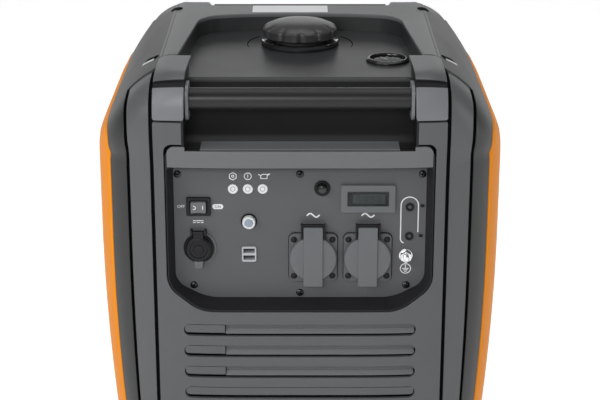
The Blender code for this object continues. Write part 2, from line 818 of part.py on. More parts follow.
def bracket_zone(side, grow):
    """Block at a front top corner, beside the tray's narrow front, that an end of the handle bar meets."""
    inner = WELL_HALF + WELL_WALL - grow
    outer = CENTRE_HALF + grow
    low_x, high_x = sorted((side * inner, side * outer))
    back = TRAY_STEP_Y - WALL - GAP + grow
    return block((low_x, -BEYOND, COVER_TOP + SEAM - grow), (high_x, back, BEYOND))


def make_top():
    zone = block((-CENTRE_HALF, -BEYOND, COVER_TOP + SEAM), (CENTRE_HALF, BEYOND, BEYOND))
    top = case_panel("top_cover", zone, DARK)
    join(top, "tray_tub", prism(tray_outline(WALL), "Z", TRAY_Z - TRAY_FLOOR, CASE_TOP - WALL / 4))
    under_skin = helper("under_skin", case_form(-GAP))
    for end, half in ((-1, WELL_HALF), (1, REAR_WELL_HALF)):
        outside = half + WELL_WALL
        well = helper("well_wall", prism(well_outline(end, WELL_WALL), "X", -outside, outside))
        boolean(well, under_skin, "INTERSECT")
        boolean(top, well, "UNION")
    cut(top, "tray_hollow", prism(tray_outline(), "Z", TRAY_Z, BEYOND))
    for end, half in ((-1, WELL_HALF), (1, REAR_WELL_HALF)):
        cut(top, "well_hollow", well_hollow(end, half))
    for side in (-1, 1):
        cut(top, "bracket_room", bracket_zone(side, GAP))
    below = (0, FILLER_Y, TRAY_Z - TRAY_DEPTH)
    cut(top, "neck_hole", rod(below, (0, 0, 1), NECK_RADIUS + RUNNING, TRAY_DEPTH * 2))
    grazing(top)


def make_brackets():
    for name, side in (("left_handle_bracket", -1), ("right_handle_bracket", 1)):
        bracket = part(name, case_form(), LIGHT_GREY, 0.45)
        keep(bracket, name + "_zone", bracket_zone(side, 0.0))


def make_bars():
    for name, end, half in (("front_handle_bar", -1, WELL_HALF), ("rear_handle_bar", 1, REAR_WELL_HALF)):
        centre = (end * (HALF_DEPTH - BAR_SETBACK), BAR_Z)
        outline = rectangle(centre, (BAR_DEPTH, BAR_HEIGHT), BAR_ROUND)
        part(name, prism(outline, "X", -half + GAP, half - GAP), BLACK, 0.35)


# Fuel tank, filler and gauge

def make_fuel():
    tank_top = TRAY_Z - TRAY_FLOOR - GAP
    low = Vector((-TANK_HALF_WIDTH, TANK_FRONT_Y, ENGINE_TOP + TANK_CLEARANCE))
    high = Vector((TANK_HALF_WIDTH, TANK_REAR_Y, tank_top))
    wall = Vector((TANK_WALL, TANK_WALL, TANK_WALL))
    tank = part("fuel_tank", block(low, high, TANK_ROUND), BLACK, 0.6)
    neck_top = TRAY_Z + NECK_ABOVE_TRAY
    neck_at = (0, FILLER_Y, tank_top - TANK_WALL / 2)
    neck = rod(neck_at, (0, 0, 1), NECK_RADIUS, neck_top - neck_at[2], FINE_SIDES)
    join(tank, "neck", neck)
    cut(tank, "tank_hollow", block(low + wall, high - wall, TANK_ROUND - TANK_WALL))
    bore = NECK_RADIUS - NECK_WALL
    bore_at = (0, FILLER_Y, tank_top - TANK_WALL * 2)
    cut(tank, "neck_bore", rod(bore_at, (0, 0, 1), bore, BEYOND, FINE_SIDES))

    floor = (0, FILLER_Y, TRAY_Z + GAP)
    inner = NECK_RADIUS + RUNNING
    collar = [(inner, COLLAR_HEIGHT), (COLLAR_RADIUS - COLLAR_EDGE, COLLAR_HEIGHT),
              (COLLAR_RADIUS, COLLAR_HEIGHT - COLLAR_EDGE), (COLLAR_RADIUS, 0), (inner, 0)]
    part("filler_collar", turned(collar, floor, (0, 0, 1), FINE_SIDES, True), BLACK, 0.35)
    rim = (0, FILLER_Y, neck_top + GAP)
    gasket = [(bore, GASKET_HEIGHT), (NECK_RADIUS, GASKET_HEIGHT), (NECK_RADIUS, 0), (bore, 0)]
    part("cap_gasket", turned(gasket, rim, (0, 0, 1), FINE_SIDES, True), BLACK, 0.8, axis_point=rim)
    seat = (0, FILLER_Y, neck_top + GASKET_HEIGHT + GAP * 2)
    cap = domed(CAP_RADIUS, CAP_SKIRT, CAP_HEIGHT)
    part("fuel_cap", turned(cap, seat, (0, 0, 1), FINE_SIDES), BLACK, 0.35, axis_point=seat)

    gauge = (TRAY_FRONT_HALF - GAUGE_FROM_SIDE, GAUGE_Y, TRAY_Z + GAP)
    inside = GAUGE_RADIUS - GAUGE_RING
    ring = [(inside, GAUGE_HEIGHT), (GAUGE_RADIUS - GAUGE_EDGE, GAUGE_HEIGHT), (GAUGE_RADIUS, 0), (inside, 0)]
    part("gauge_bezel", turned(ring, gauge, (0, 0, 1), FINE_SIDES, True), BLACK, 0.25)
    part("gauge_lens", rod(gauge, (0, 0, 1), inside - GAP, LENS_HEIGHT, FINE_SIDES), LIGHT_GREY, 0.1)


# Control panel and what it carries

def on_panel(at, out=0.0):
    """Point in front of the panel plate, at an offset from the panel's centre."""
    return Vector((at[0], PLATE_Y - out, PANEL_Z + at[1]))


def panel_prism(at, outline_size, start, stop, radius=0.0):
    """Upright plate on the panel between two distances in front of it. Negative is behind."""
    outline = rectangle((at[0], PANEL_Z + at[1]), outline_size, radius)
    return prism(outline, "Y", PLATE_Y - start, PLATE_Y - stop)


def panel_rod(at, radius, start, stop, sides=ROUND_SIDES):
    return rod(on_panel(at, start), (0, -1, 0), radius, stop - start, sides)


def recess_outline(draft, drop):
    """Edge of the hole in the bezel: draft draws the sides in, drop lifts its floor."""
    side = BEZEL_HALF - BEZEL_RIM - draft
    low = BEZEL_BOTTOM + BEZEL_RIM + drop
    low_half = BEZEL_BOTTOM_HALF - draft
    top = BEZEL_TOP - BEZEL_STRIP - draft
    corner = BEZEL_CORNER_Z - draft
    top_round = BEZEL_TOP_ROUND - BEZEL_RIM
    low_round = BEZEL_ROUND - BEZEL_RIM
    return rounded([(side, top, top_round), (-side, top, top_round), (-side, corner, low_round),
                    (-low_half, low, low_round), (low_half, low, low_round), (side, corner, low_round)])


def make_bezel():
    bezel = part("panel_bezel", prism(bezel_outline(), "Y", -BEYOND, PLATE_Y - GAP), DARK, 0.5)
    boolean(bezel, CASE_OUTER, "INTERSECT")
    mouth = recess_outline(-BEZEL_DRAFT, -BEZEL_FLOOR_DROP)
    back = recess_outline(BEZEL_DRAFT, BEZEL_FLOOR_DROP)
    hollow = loft([placed(mouth, "Y", PLATE_Y - RECESS_DEPTH * 2), placed(back, "Y", PLATE_Y)])
    cut(bezel, "recess_hollow", hollow)


def make_plate():
    edge = recess_outline(BEZEL_DRAFT - PLATE_OVERLAP, BEZEL_FLOOR_DROP - PLATE_OVERLAP)
    return part("control_panel", prism(edge, "Y", PLATE_Y, PLATE_Y + PLATE_THICKNESS), GREY, 0.5)


def grown(size, by):
    return tuple(side + by * 2 for side in size)


def make_switch(plate):
    room = grown(ROCKER_SIZE, ROCKER_PLAY)
    sleeve = grown(room, SWITCH_WALL)
    front = GAP + SWITCH_LIP
    frame = part("switch_frame", panel_prism(SWITCH_AT, SWITCH_SIZE, GAP, front), BLACK, 0.4)
    join(frame, "switch_sleeve", panel_prism(SWITCH_AT, sleeve, -SWITCH_BODY, front - SWITCH_LIP / 2))
    cut(frame, "rocker_room", panel_prism(SWITCH_AT, room, SWITCH_WALL - SWITCH_BODY, front * 2))
    cut(plate, "switch_hole", panel_prism(SWITCH_AT, grown(sleeve, RUNNING), -BEYOND, BEYOND))

    pivot = on_panel(SWITCH_AT, SWITCH_LIP / 2)
    half = ROCKER_SIZE[0] / 2
    edge = pivot.y - SWITCH_LIP / 2 - ROCKER_PROUD
    back = pivot.y + ROCKER_PROUD
    outline = [(pivot.x - half, back), (pivot.x + half, back), (pivot.x + half, edge),
               (pivot.x, edge + ROCKER_DISH), (pivot.x - half, edge)]
    low = pivot.z - ROCKER_SIZE[1] / 2
    rocker = prism(outline, "Z", low, low + ROCKER_SIZE[1])
    part("switch_rocker", rocker, BLACK, 0.35, axis_point=pivot)


def make_lamps(plate):
    for name, x in zip(("lamp_oil", "lamp_overload", "lamp_output"), LAMP_XS):
        at = (x, LAMP_Z)
        dome = domed(LAMP_RADIUS, LAMP_BEHIND, LAMP_BEHIND + LAMP_PROUD)
        part(name, turned(dome, on_panel(at, -LAMP_BEHIND), (0, -1, 0), SMALL_SIDES), WHITE, 0.2)
        cut(plate, name + "_hole", panel_rod(at, LAMP_RADIUS + GAP, -BEYOND, BEYOND, SMALL_SIDES))


def make_buttons(plate):
    for name, at, radius, colour in (("breaker_button", BREAKER_AT, BREAKER_RADIUS, LIGHT_GREY),
                                     ("reset_button", RESET_AT, RESET_RADIUS, BLACK)):
        length = BUTTON_BEHIND + BUTTON_PROUD
        profile = [(0, length), (radius - BUTTON_EDGE, length), (radius, length - BUTTON_EDGE),
                   (radius, 0), (0, 0)]
        start = on_panel(at, -BUTTON_BEHIND)
        part(name, turned(profile, start, (0, -1, 0)), colour, 0.3, axis_point=on_panel(at))
        cut(plate, name + "_hole", panel_rod(at, radius + GAP, -BEYOND, BEYOND))


def hinge_ears(obj, name, at, up, inner_half, outer_half, base_low, base_front, axis_out, knuckle):
    """A plate above a socket, with two ears that hold the knuckle of its lid."""
    x, z = at
    top = up + knuckle
    base = panel_prism((x, z + (base_low + top) / 2), (outer_half * 2, top - base_low), GAP, base_front)
    join(obj, name + "_base", base)
    for side in (-1, 1):
        middle = x + side * (inner_half + GAP + outer_half) / 2
        width = outer_half - inner_half - GAP
        ear = panel_prism((middle, z + up), (width, knuckle * 2), base_front / 2, axis_out + knuckle)
        join(obj, name + "_ear", ear)


def make_dc(plate):
    front = GAP + DC_FLANGE
    floor = front - DC_BORE_DEPTH
    profile = [(0, floor), (DC_BORE_RADIUS, floor), (DC_BORE_RADIUS, front), (DC_FLANGE_RADIUS, front),
               (DC_FLANGE_RADIUS, GAP), (DC_BARREL_RADIUS, GAP), (DC_BARREL_RADIUS, -DC_DEPTH),
               (0, -DC_DEPTH)]
    socket = part("dc_socket", turned(profile, on_panel(DC_AT), (0, -1, 0)), BLACK, 0.4)
    cut(plate, "dc_hole", panel_rod(DC_AT, DC_BARREL_RADIUS + RUNNING, -BEYOND, BEYOND))
    seat = front + GAP
    axis_out = seat + DC_CAP_THICKNESS / 2
    half = DC_TAB_WIDTH / 2
    hinge_ears(socket, "dc_hinge", DC_AT, DC_HINGE_UP, half, half + DC_EAR, DC_BORE_RADIUS + DC_EAR, front,
               axis_out, DC_KNUCKLE)

    x, z = DC_AT
    pivot = on_panel((x, z + DC_HINGE_UP), axis_out)
    disc = panel_rod(DC_AT, DC_CAP_RADIUS, seat, seat + DC_CAP_THICKNESS)
    cap = part("dc_cap", disc, BLACK, 0.5, axis_point=pivot)
    tab_size = (DC_TAB_WIDTH, DC_HINGE_UP)
    join(cap, "dc_tab", panel_prism((x, z + DC_HINGE_UP / 2), tab_size, seat, seat + DC_TAB_THICKNESS))
    knuckle_at = (x - half, pivot.y, pivot.z)
    join(cap, "dc_knuckle", rod(knuckle_at, (1, 0, 0), DC_KNUCKLE, DC_TAB_WIDTH, SMALL_SIDES))
    lift_size = (DC_LIFT_WIDTH, DC_CAP_RADIUS + DC_LIFT_REACH)
    lift_at = (x, z - lift_size[1] / 2)
    join(cap, "dc_lift_tab", panel_prism(lift_at, lift_size, seat, seat + DC_LIFT_THICKNESS))


def make_usb(plate):
    x, z = USB_AT
    body = grown(USB_SIZE, -USB_INSET)
    front = GAP + USB_LIP
    socket = part("usb_socket", panel_prism(USB_AT, USB_SIZE, GAP, front), LIGHT_GREY, 0.4)
    join(socket, "usb_body", panel_prism(USB_AT, body, -USB_DEPTH, front - USB_LIP / 2))
    for side in (-1, 1):
        port = panel_prism((x, z + side * USB_PITCH / 2), USB_PORT, front - USB_PORT_DEPTH, front * 2)
        cut(socket, "usb_port", port)
    cut(plate, "usb_hole", panel_prism(USB_AT, grown(body, RUNNING), -BEYOND, BEYOND))


def make_ac(plate):
    front = GAP + AC_FLANGE
    seat = front + GAP
    half = AC_STRAP_WIDTH / 2
    for side, x in zip(("left", "right"), AC_XS):
        at = (x, AC_Z)
        flange = panel_prism(at, AC_FLANGE_SIZE, GAP, front, AC_FLANGE_ROUND)
        socket = part("ac_socket_" + side, flange, BLACK, 0.4)
        join(socket, "ac_barrel", panel_rod(at, AC_BARREL_RADIUS, -AC_DEPTH, front - AC_FLANGE / 2))
        flange_top = AC_FLANGE_SIZE[1] / 2
        hinge_ears(socket, "ac_hinge", at, AC_HINGE_UP, half, AC_HINGE_HALF, flange_top - AC_FLANGE, front,
                   AC_HINGE_OUT, AC_HINGE_RADIUS)
        cut(socket, "ac_recess", panel_rod(at, AC_RECESS_RADIUS, front - AC_RECESS_DEPTH, front * 2))
        for pin in (-1, 1):
            pin_at = (x + pin * AC_PIN_SPACING / 2, AC_Z)
            floor = AC_PIN_FLOOR - AC_DEPTH
            cut(socket, "ac_pin_hole", panel_rod(pin_at, AC_PIN_RADIUS, floor, front, SMALL_SIDES))
        cut(plate, "ac_hole", panel_rod(at, AC_BARREL_RADIUS + RUNNING, -BEYOND, BEYOND))

        pivot = on_panel((x, AC_Z + AC_HINGE_UP), AC_HINGE_OUT)
        face = seat + AC_FLAP_THICKNESS
        disc = panel_rod(at, AC_FLAP_RADIUS, seat, face, FINE_SIDES)
        flap = part("ac_flap_" + side, disc, GREY, 0.5, axis_point=pivot)
        length = AC_HINGE_UP + AC_STRAP_DROP
        strap_at = (x, AC_Z + AC_HINGE_UP - length / 2)
        strap = panel_prism(strap_at, (AC_STRAP_WIDTH, length), seat + GAP, face + AC_STRAP_RAISE)
        join(flap, "ac_strap", strap)
        knuckle = rod((x - half, pivot.y, pivot.z), (1, 0, 0), AC_HINGE_RADIUS, AC_STRAP_WIDTH, SMALL_SIDES)
        join(flap, "ac_knuckle", knuckle)


def make_display():
    front = GAP + DISPLAY_LIP
    bezel = part("display_bezel", panel_prism(DISPLAY_AT, DISPLAY_SIZE, GAP, front), GREY, 0.4)
    cut(bezel, "display_opening", panel_prism(DISPLAY_AT, WINDOW_SIZE, -BEYOND, BEYOND))
    window = panel_prism(DISPLAY_AT, grown(WINDOW_SIZE, -GAP), GAP, GAP + WINDOW_THICKNESS)
    part("display_window", window, BLACK, 0.15)


def make_terminals(plate):
    for name, z in zip(("parallel_jack_upper", "parallel_jack_lower"), JACK_ZS):
        at = (JACK_X, z)
        front = GAP + JACK_LIP
        floor = JACK_FLOOR - JACK_DEPTH
        profile = [(0, floor), (JACK_BORE, floor), (JACK_BORE, front), (JACK_RADIUS, front),
                   (JACK_RADIUS, GAP), (JACK_BARREL, GAP), (JACK_BARREL, -JACK_DEPTH), (0, -JACK_DEPTH)]
        part(name, turned(profile, on_panel(at), (0, -1, 0), SMALL_SIDES), BLACK, 0.4)
        cut(plate, name + "_hole", panel_rod(at, JACK_BARREL + GAP, -BEYOND, BEYOND, SMALL_SIDES))
    nut = GAP + STUD_WASHER
    nut_top = nut + STUD_NUT
    tip = nut_top + STUD_PAST_NUT
    profile = [(0, tip), (STUD_RADIUS, tip), (STUD_RADIUS, nut_top), (STUD_NUT_RADIUS, nut_top),
               (STUD_NUT_RADIUS, nut), (STUD_WASHER_RADIUS, nut), (STUD_WASHER_RADIUS, GAP),
               (STUD_RADIUS, GAP), (STUD_RADIUS, -STUD_BEHIND), (0, -STUD_BEHIND)]
    part("ground_stud", turned(profile, on_panel(STUD_AT), (0, -1, 0), SMALL_SIDES), STEEL, 0.3, 1.0)
    cut(plate, "stud_hole", panel_rod(STUD_AT, STUD_RADIUS + GAP, -BEYOND, BEYOND, SMALL_SIDES))


# Starter grip and fuel valve in the left pocket

def make_pocket_controls():
    floor = pocket_floor_x() - GAP
    low = (floor - GRIP_DEPTH, GRIP_Y - GRIP_LENGTH / 2, POCKET_Z - GRIP_HEIGHT / 2)
    high = (floor, GRIP_Y + GRIP_LENGTH / 2, POCKET_Z + GRIP_HEIGHT / 2)
    grip_at = (floor, GRIP_Y, POCKET_Z)
    part("recoil_grip", block(low, high, GRIP_ROUND), BLACK, 0.6, axis_point=grip_at)
    seat = (floor, KNOB_Y, POCKET_Z)
    base = KNOB_DEPTH - KNOB_RIB_DEPTH
    knob = part("fuel_valve_knob", rod(seat, (-1, 0, 0), KNOB_RADIUS, base), BLACK, 0.5, axis_point=seat)
    rib_low = (floor - KNOB_DEPTH, KNOB_Y - KNOB_RIB_WIDTH / 2, POCKET_Z - KNOB_RIB_LENGTH / 2)
    rib_high = (floor - base / 2, KNOB_Y + KNOB_RIB_WIDTH / 2, POCKET_Z + KNOB_RIB_LENGTH / 2)
    join(knob, "knob_rib", block(rib_low, rib_high))


# Engine, alternator and inverter

def make_engine():
    low = (BLOCK_LEFT_X, -BLOCK_HALF_DEPTH, BASE_Z + RAIL_HEIGHT + GAP)
    high = (BLOCK_RIGHT_X, BLOCK_HALF_DEPTH, BLOCK_TOP_Z)
    engine = part("engine_block", block(low, high), ALUMINIUM, 0.6, 0.8)
    join(engine, "flange", rod(CRANK_AT, (1, 0, 0), FLANGE_RADIUS, FLANGE_THICKNESS, FINE_SIDES))
    barrel_low = (BLOCK_X - BARREL_HALF, -BARREL_HALF, BLOCK_TOP_Z - WALL)
    join(engine, "barrel", block(barrel_low, (BLOCK_X + BARREL_HALF, BARREL_HALF, BARREL_TOP_Z)))
    cut(engine, "crank_bore", rod((-BEYOND, 0, CRANK_Z), (1, 0, 0), CRANK_RADIUS + RUNNING, BEYOND * 2))

    head_low = (BLOCK_X - HEAD_HALF, -HEAD_HALF, BARREL_TOP_Z + GAP)
    head_high = (BLOCK_X + HEAD_HALF, HEAD_HALF, HEAD_TOP)
    head = part("cylinder_head", block(head_low, head_high), ALUMINIUM, 0.6, 0.8)
    cover_low = (BLOCK_X - ROCKER_COVER_HALF, -ROCKER_COVER_HALF, HEAD_TOP - WALL)
    cover_high = (BLOCK_X + ROCKER_COVER_HALF, ROCKER_COVER_HALF, HEAD_TOP + ROCKER_COVER_HEIGHT)
    join(head, "valve_cover", block(cover_low, cover_high))

    plug = [(0, 0), (PLUG_HEX_RADIUS, 0), (PLUG_HEX_RADIUS, PLUG_HEX), (PLUG_TIP_RADIUS, PLUG_HEX),
            (PLUG_TIP_RADIUS, PLUG_LENGTH), (0, PLUG_LENGTH)]
    plug_at = (BLOCK_X, -HEAD_HALF - GAP, HEAD_Z)
    part("spark_plug", turned(plug, plug_at, (0, -1, 0), SMALL_SIDES), STEEL, 0.3, 0.5)


def make_alternator():
    left = (-1, 0, 0)
    stator = [(STATOR_BORE, GAP), (STATOR_RADIUS, GAP), (STATOR_RADIUS, GAP + STATOR_LENGTH),
              (STATOR_BORE, GAP + STATOR_LENGTH)]
    part("stator", turned(stator, CRANK_AT, left, ring=True), COPPER, 0.5, 0.6)

    shaft_left = BLOCK_LEFT_X - FAN_END - CRANK_STUB
    shaft_right = BLOCK_RIGHT_X + CRANK_TAIL
    shaft = rod((shaft_left, 0, CRANK_Z), (1, 0, 0), CRANK_RADIUS, shaft_right - shaft_left)
    part("crankshaft", shaft, STEEL, 0.3, 1.0, axis_point=CRANK_AT)
    bore = CRANK_RADIUS + GAP
    rim_end = WEB_START + ROTOR_WEB
    rotor = [(ROTOR_INNER, ROTOR_CLEARANCE), (ROTOR_OUTER, ROTOR_CLEARANCE), (ROTOR_OUTER, rim_end),
             (bore, rim_end), (bore, WEB_START), (ROTOR_INNER, WEB_START)]
    part("flywheel", turned(rotor, CRANK_AT, left, FINE_SIDES, True), STEEL, 0.4, 0.9, axis_point=CRANK_AT)

    blade_start = FAN_START + FAN_DISC / 2
    disc_end = FAN_START + FAN_DISC
    disc = [(bore, FAN_START), (FAN_RADIUS, FAN_START), (FAN_RADIUS, disc_end), (bore, disc_end)]
    fan = part("cooling_fan", turned(disc, CRANK_AT, left, FINE_SIDES, True), BLACK, 0.5, axis_point=CRANK_AT)
    for i in range(FAN_BLADES):
        blade_low = (FAN_BLADE_START, -FAN_DISC / 2, blade_start)
        blade_high = (FAN_RADIUS - FAN_BLADE_MARGIN, FAN_DISC / 2, FAN_END)
        blade = block(blade_low, blade_high)
        turn = Matrix.Rotation(math.tau * i / FAN_BLADES, 4, "Z")
        blade.transform(Matrix.Translation(CRANK_AT) @ facing(left) @ turn)
        join(fan, "fan_blade", blade)

    inner = SHROUD_RADIUS - SHROUD_WALL
    end = FAN_END + SHROUD_CLEARANCE
    outside = end + SHROUD_WALL
    shroud = [(inner, GAP), (SHROUD_RADIUS, GAP), (SHROUD_RADIUS, outside), (SHROUD_MOUTH, outside),
              (SHROUD_MOUTH, end), (inner, end)]
    part("recoil_cover", turned(shroud, CRANK_AT, left, FINE_SIDES, True), BLACK, 0.5)


def make_intake():
    start = BLOCK_X + HEAD_HALF + GAP
    carb_x = CARB_SIZE[0]
    part("carburettor", block_at((start + carb_x / 2, 0, HEAD_Z), CARB_SIZE), ALUMINIUM, 0.5, 0.8)
    cleaner_x = start + carb_x + GAP + CLEANER_SIZE[0] / 2
    part("air_cleaner", block_at((cleaner_x, 0, HEAD_Z), CLEANER_SIZE, CLEANER_ROUND), BLACK, 0.6)


def make_exhaust():
    face = HEAD_HALF + GAP
    body_y = face + MUFFLER_NECK + MUFFLER_SIZE[1] / 2
    body = block_at((BLOCK_X, body_y, HEAD_Z), MUFFLER_SIZE, MUFFLER_ROUND)
    muffler = part("muffler", body, STEEL, 0.5, 0.9)
    neck = rod((BLOCK_X, face, HEAD_Z), (0, 1, 0), MUFFLER_NECK_RADIUS, body_y - face)
    join(muffler, "muffler_neck", neck)
    tail_end = HALF_DEPTH - TAIL_INSET
    tail = rod((TAIL_X, body_y, HEAD_Z), (0, 1, 0), TAIL_RADIUS, tail_end - body_y)
    join(muffler, "tail_pipe", tail)
    bore = rod((TAIL_X, tail_end - TAIL_DEPTH, HEAD_Z), (0, 1, 0), TAIL_RADIUS - TAIL_WALL, TAIL_DEPTH * 2)
    cut(muffler, "tail_bore", bore)


def make_inverter():
    wide, deep, high = INVERTER_SIZE
    front = -(HALF_DEPTH - INVERTER_SETBACK)
    floor = BASE_Z + WALL + GAP
    body = block((-wide / 2, front, floor), (wide / 2, front + deep, floor + high))
    module = part("inverter_module", body, ALUMINIUM, 0.5, 0.8)
    pitch = (wide - INVERTER_FIN) / (INVERTER_FINS - 1)
    for i in range(INVERTER_FINS):
        x = -wide / 2 + i * pitch
        fin_low = (x, front - INVERTER_FIN_DEPTH, floor + INVERTER_FIN)
        fin_high = (x + INVERTER_FIN, front + INVERTER_FIN, floor + high - INVERTER_FIN)
        join(module, "inverter_fin", block(fin_low, fin_high))


def main():
    make_base()
    make_feet()
    make_front_and_rear(louvre_slots())
    make_hoops()
    make_side_covers()
    make_door()
    make_top()
    make_brackets()
    make_bars()
    make_fuel()
    make_bezel()
    plate = make_plate()
    make_switch(plate)
    make_lamps(plate)
    make_buttons(plate)
    make_dc(plate)
    make_usb(plate)
    make_ac(plate)
    make_display()
    make_terminals(plate)
    make_pocket_controls()
    make_engine()
    make_alternator()
    make_intake()
    make_exhaust()
    make_inverter()


main()
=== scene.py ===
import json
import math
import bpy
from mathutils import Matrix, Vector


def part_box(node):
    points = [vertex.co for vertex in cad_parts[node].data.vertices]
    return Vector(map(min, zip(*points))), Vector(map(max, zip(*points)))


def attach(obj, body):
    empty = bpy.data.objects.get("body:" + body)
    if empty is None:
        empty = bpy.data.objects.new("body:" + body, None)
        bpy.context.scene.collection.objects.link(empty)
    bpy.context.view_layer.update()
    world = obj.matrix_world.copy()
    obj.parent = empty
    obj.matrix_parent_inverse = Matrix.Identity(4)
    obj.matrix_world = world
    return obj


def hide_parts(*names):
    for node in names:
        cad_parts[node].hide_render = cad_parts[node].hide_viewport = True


bl_info = {
    "name": "Inverter generator",
    "version": (1, 0, 0),
    "blender": (4, 5, 0),
    "location": "View3D > Sidebar > Generator",
    "description": "Shells, controls and finishes of a closed-frame inverter generator",
    "category": "Object",
}

import bmesh
import bpy
from mathutils import Matrix, Vector

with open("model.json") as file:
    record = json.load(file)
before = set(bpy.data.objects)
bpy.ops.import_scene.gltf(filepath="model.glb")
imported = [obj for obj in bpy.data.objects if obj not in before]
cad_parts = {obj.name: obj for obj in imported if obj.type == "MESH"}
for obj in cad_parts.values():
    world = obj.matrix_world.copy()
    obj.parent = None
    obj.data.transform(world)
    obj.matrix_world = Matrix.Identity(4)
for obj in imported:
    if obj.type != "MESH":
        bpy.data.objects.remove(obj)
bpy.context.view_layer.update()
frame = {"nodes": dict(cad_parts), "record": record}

# Places that the shells share with the solids, in metres
SEAT_Z = 0.060
SEAT_GAP = 0.0008
COVER_TOP = 0.4794
CENTRE_HALF = 0.1486
HOOP_INNER = 0.1524
BACKING_INNER = 0.1440
WELL_HALF = {-1: 0.1170, 1: 0.1060}
TRAY_Z = 0.505
PLATE_Y = -0.2005
PANEL_Z = 0.355
CHEEK = 0.0024

# How finely the shells and their roundings are divided
GRID = 0.010
ARC_STEPS = 6
ROUND_STEPS = 40
EDGE_STEPS = 3

# Thickness of a backing sheet, the distance at which two places are one, and the angles of a sharp edge
SHEET = 0.001
NO_GAP = 1e-6
SMOOTH = math.radians(38)
CREASE = math.radians(40)
RIM_ANGLE = 1.0


def length(label, text, metres):
    return bpy.props.FloatProperty(name=label, description=text, default=metres, unit="LENGTH")


def level(label, text, value):
    return bpy.props.FloatProperty(name=label, description=text, default=value)


class CaseSizes(bpy.types.PropertyGroup):
    """Sizes of the case form and of the seams between its shells"""

    width: length("Width", "Widest place of the case", 0.431)
    depth: length("Depth", "Front skin to rear skin", 0.450)
    top: length("Top", "Height of the top skin", 0.525)
    base_width: length("Base width", "Width at the bottom of the case", 0.385)
    belly_drop: length("Belly drop", "Top skin down to the widest place", 0.187)
    shoulder: length("Shoulder", "Height of the rounded shoulders", 0.089)
    crown_width: length("Crown width", "Width of the flat top", 0.280)
    crown_depth: length("Crown depth", "Depth of the flat top", 0.400)
    front_round: length("Front round", "Rounding of the upper front edge", 0.040)
    wall: length("Wall", "Thickness of the moulded shells", 0.004)
    seam: length("Seam", "Gap round the side covers", 0.0008)
    groove: length("Groove", "Width of the groove in the side hoops", 0.0030)
    band_drop: length("Band drop", "How deep the inner band lies", 0.0020)
    side_proud: length("Side proud", "How far the side covers stand out", 0.0012)


def colour(label, text, red, green, blue):
    return bpy.props.FloatVectorProperty(
        name=label, description=text, subtype="COLOR", size=3, min=0, max=1, default=(red, green, blue))


class CaseColours(bpy.types.PropertyGroup):
    """Colours of the mouldings"""

    cover: colour("Covers", "Front and rear cover", 0.109, 0.112, 0.118)
    # Lighter than the covers; on the louvre fins and the sill this colour is painted light for the light
    # falling on them from above
    strip: colour("Strip", "Strip above the control panel, louvre fins and sill", 0.150, 0.154, 0.161)
    hoop: colour("Hoops", "Side hoops and top", 0.112, 0.115, 0.119)
    # On the tray wall this dark colour is partly painted shade inside the tray
    rail: colour("Rails", "Outer rails of the side hoops and wall of the tray", 0.028, 0.0288, 0.030)
    tray: colour("Tray", "Floor of the tray", 0.038, 0.0392, 0.041)
    cap: colour("Cap", "Fuel cap", 0.036, 0.036, 0.038)
    # On the bracket necks this near-black is painted shade under the lip of the bracket caps
    bezel: colour("Bezel", "Funnel round the control panel and bracket necks", 0.022, 0.022, 0.024)
    # The brackets share the plastic of the covers; their lighter colour is painted light for the light that
    # falls on the upper front
    bracket: colour("Brackets", "Handle brackets", 0.190, 0.198, 0.210)
    orange: colour("Side covers", "Side covers and service door", 0.940, 0.305, 0.012)
    # On the front hand well and its cheeks this near-black is painted shade for the recess under the bar
    bar: colour("Handles", "Handle bars, front hand well and gloss black pieces", 0.011, 0.011, 0.012)
    panel: colour("Panel", "Control panel and mains sockets", 0.106, 0.108, 0.115)
    flap: colour("Flaps", "Socket flaps and display frame", 0.140, 0.148, 0.155)
    black: colour("Black", "Small controls", 0.011, 0.011, 0.0125)
    pale: colour("Pale", "USB socket", 0.500, 0.520, 0.540)
    white: colour("White", "Printed marks and lamps", 0.880, 0.890, 0.900)


class StageSettings(bpy.types.PropertyGroup):
    """Camera, floor and lamps"""

    camera_y: length("Camera Y", "Camera place before the case", -1.8274)
    camera_z: length("Camera height", "Camera height above the floor", 0.9499)
    camera_pitch: bpy.props.FloatProperty(
        name="Pitch", description="How far the camera looks down", default=math.radians(19), subtype="ANGLE")
    focal: level("Focal length", "Lens in millimetres", 99.96)
    floor_size: length("Floor", "Side of the floor", 40.0)
    key: level("Key lamp", "Softbox at the front left, in watts", 20.0)
    front: level("Front lamp", "Wide softbox beside the camera, in watts", 14.0)
    top: level("Top lamp", "Softbox above, in watts", 13.0)
    fill: level("Fill lamp", "Softbox at the right, in watts", 9.0)
    ambient: level("Ambient", "Strength of the even light all round", 0.19)
    floor_glow: level("Floor glow", "How bright floor and backdrop are where they are seen", 0.72)


# The case form

SHOULDER_POWER = 1.28
PLAN_POWER = 5.0
CROWN_POWER = 12.0
BASE_Z = 0.020
SIDE_HALF = 0.184
SIDE_TOP = 0.4610
SIDE_CORNER = 0.040
SIDE_POWER = 8.0
SIDE_GAP = 0.0006
SIDE_EDGE_LIMIT = 0.3


def clamped(share):
    return min(1.0, max(0.0, share))


def last_true(test, limit, halvings):
    """The way, up to a limit, at which a test that starts true turns false"""
    low, high = 0.0, limit
    for _ in range(halvings):
        middle = (low + high) / 2
        if test(middle):
            low = middle
        else:
            high = middle
    return low


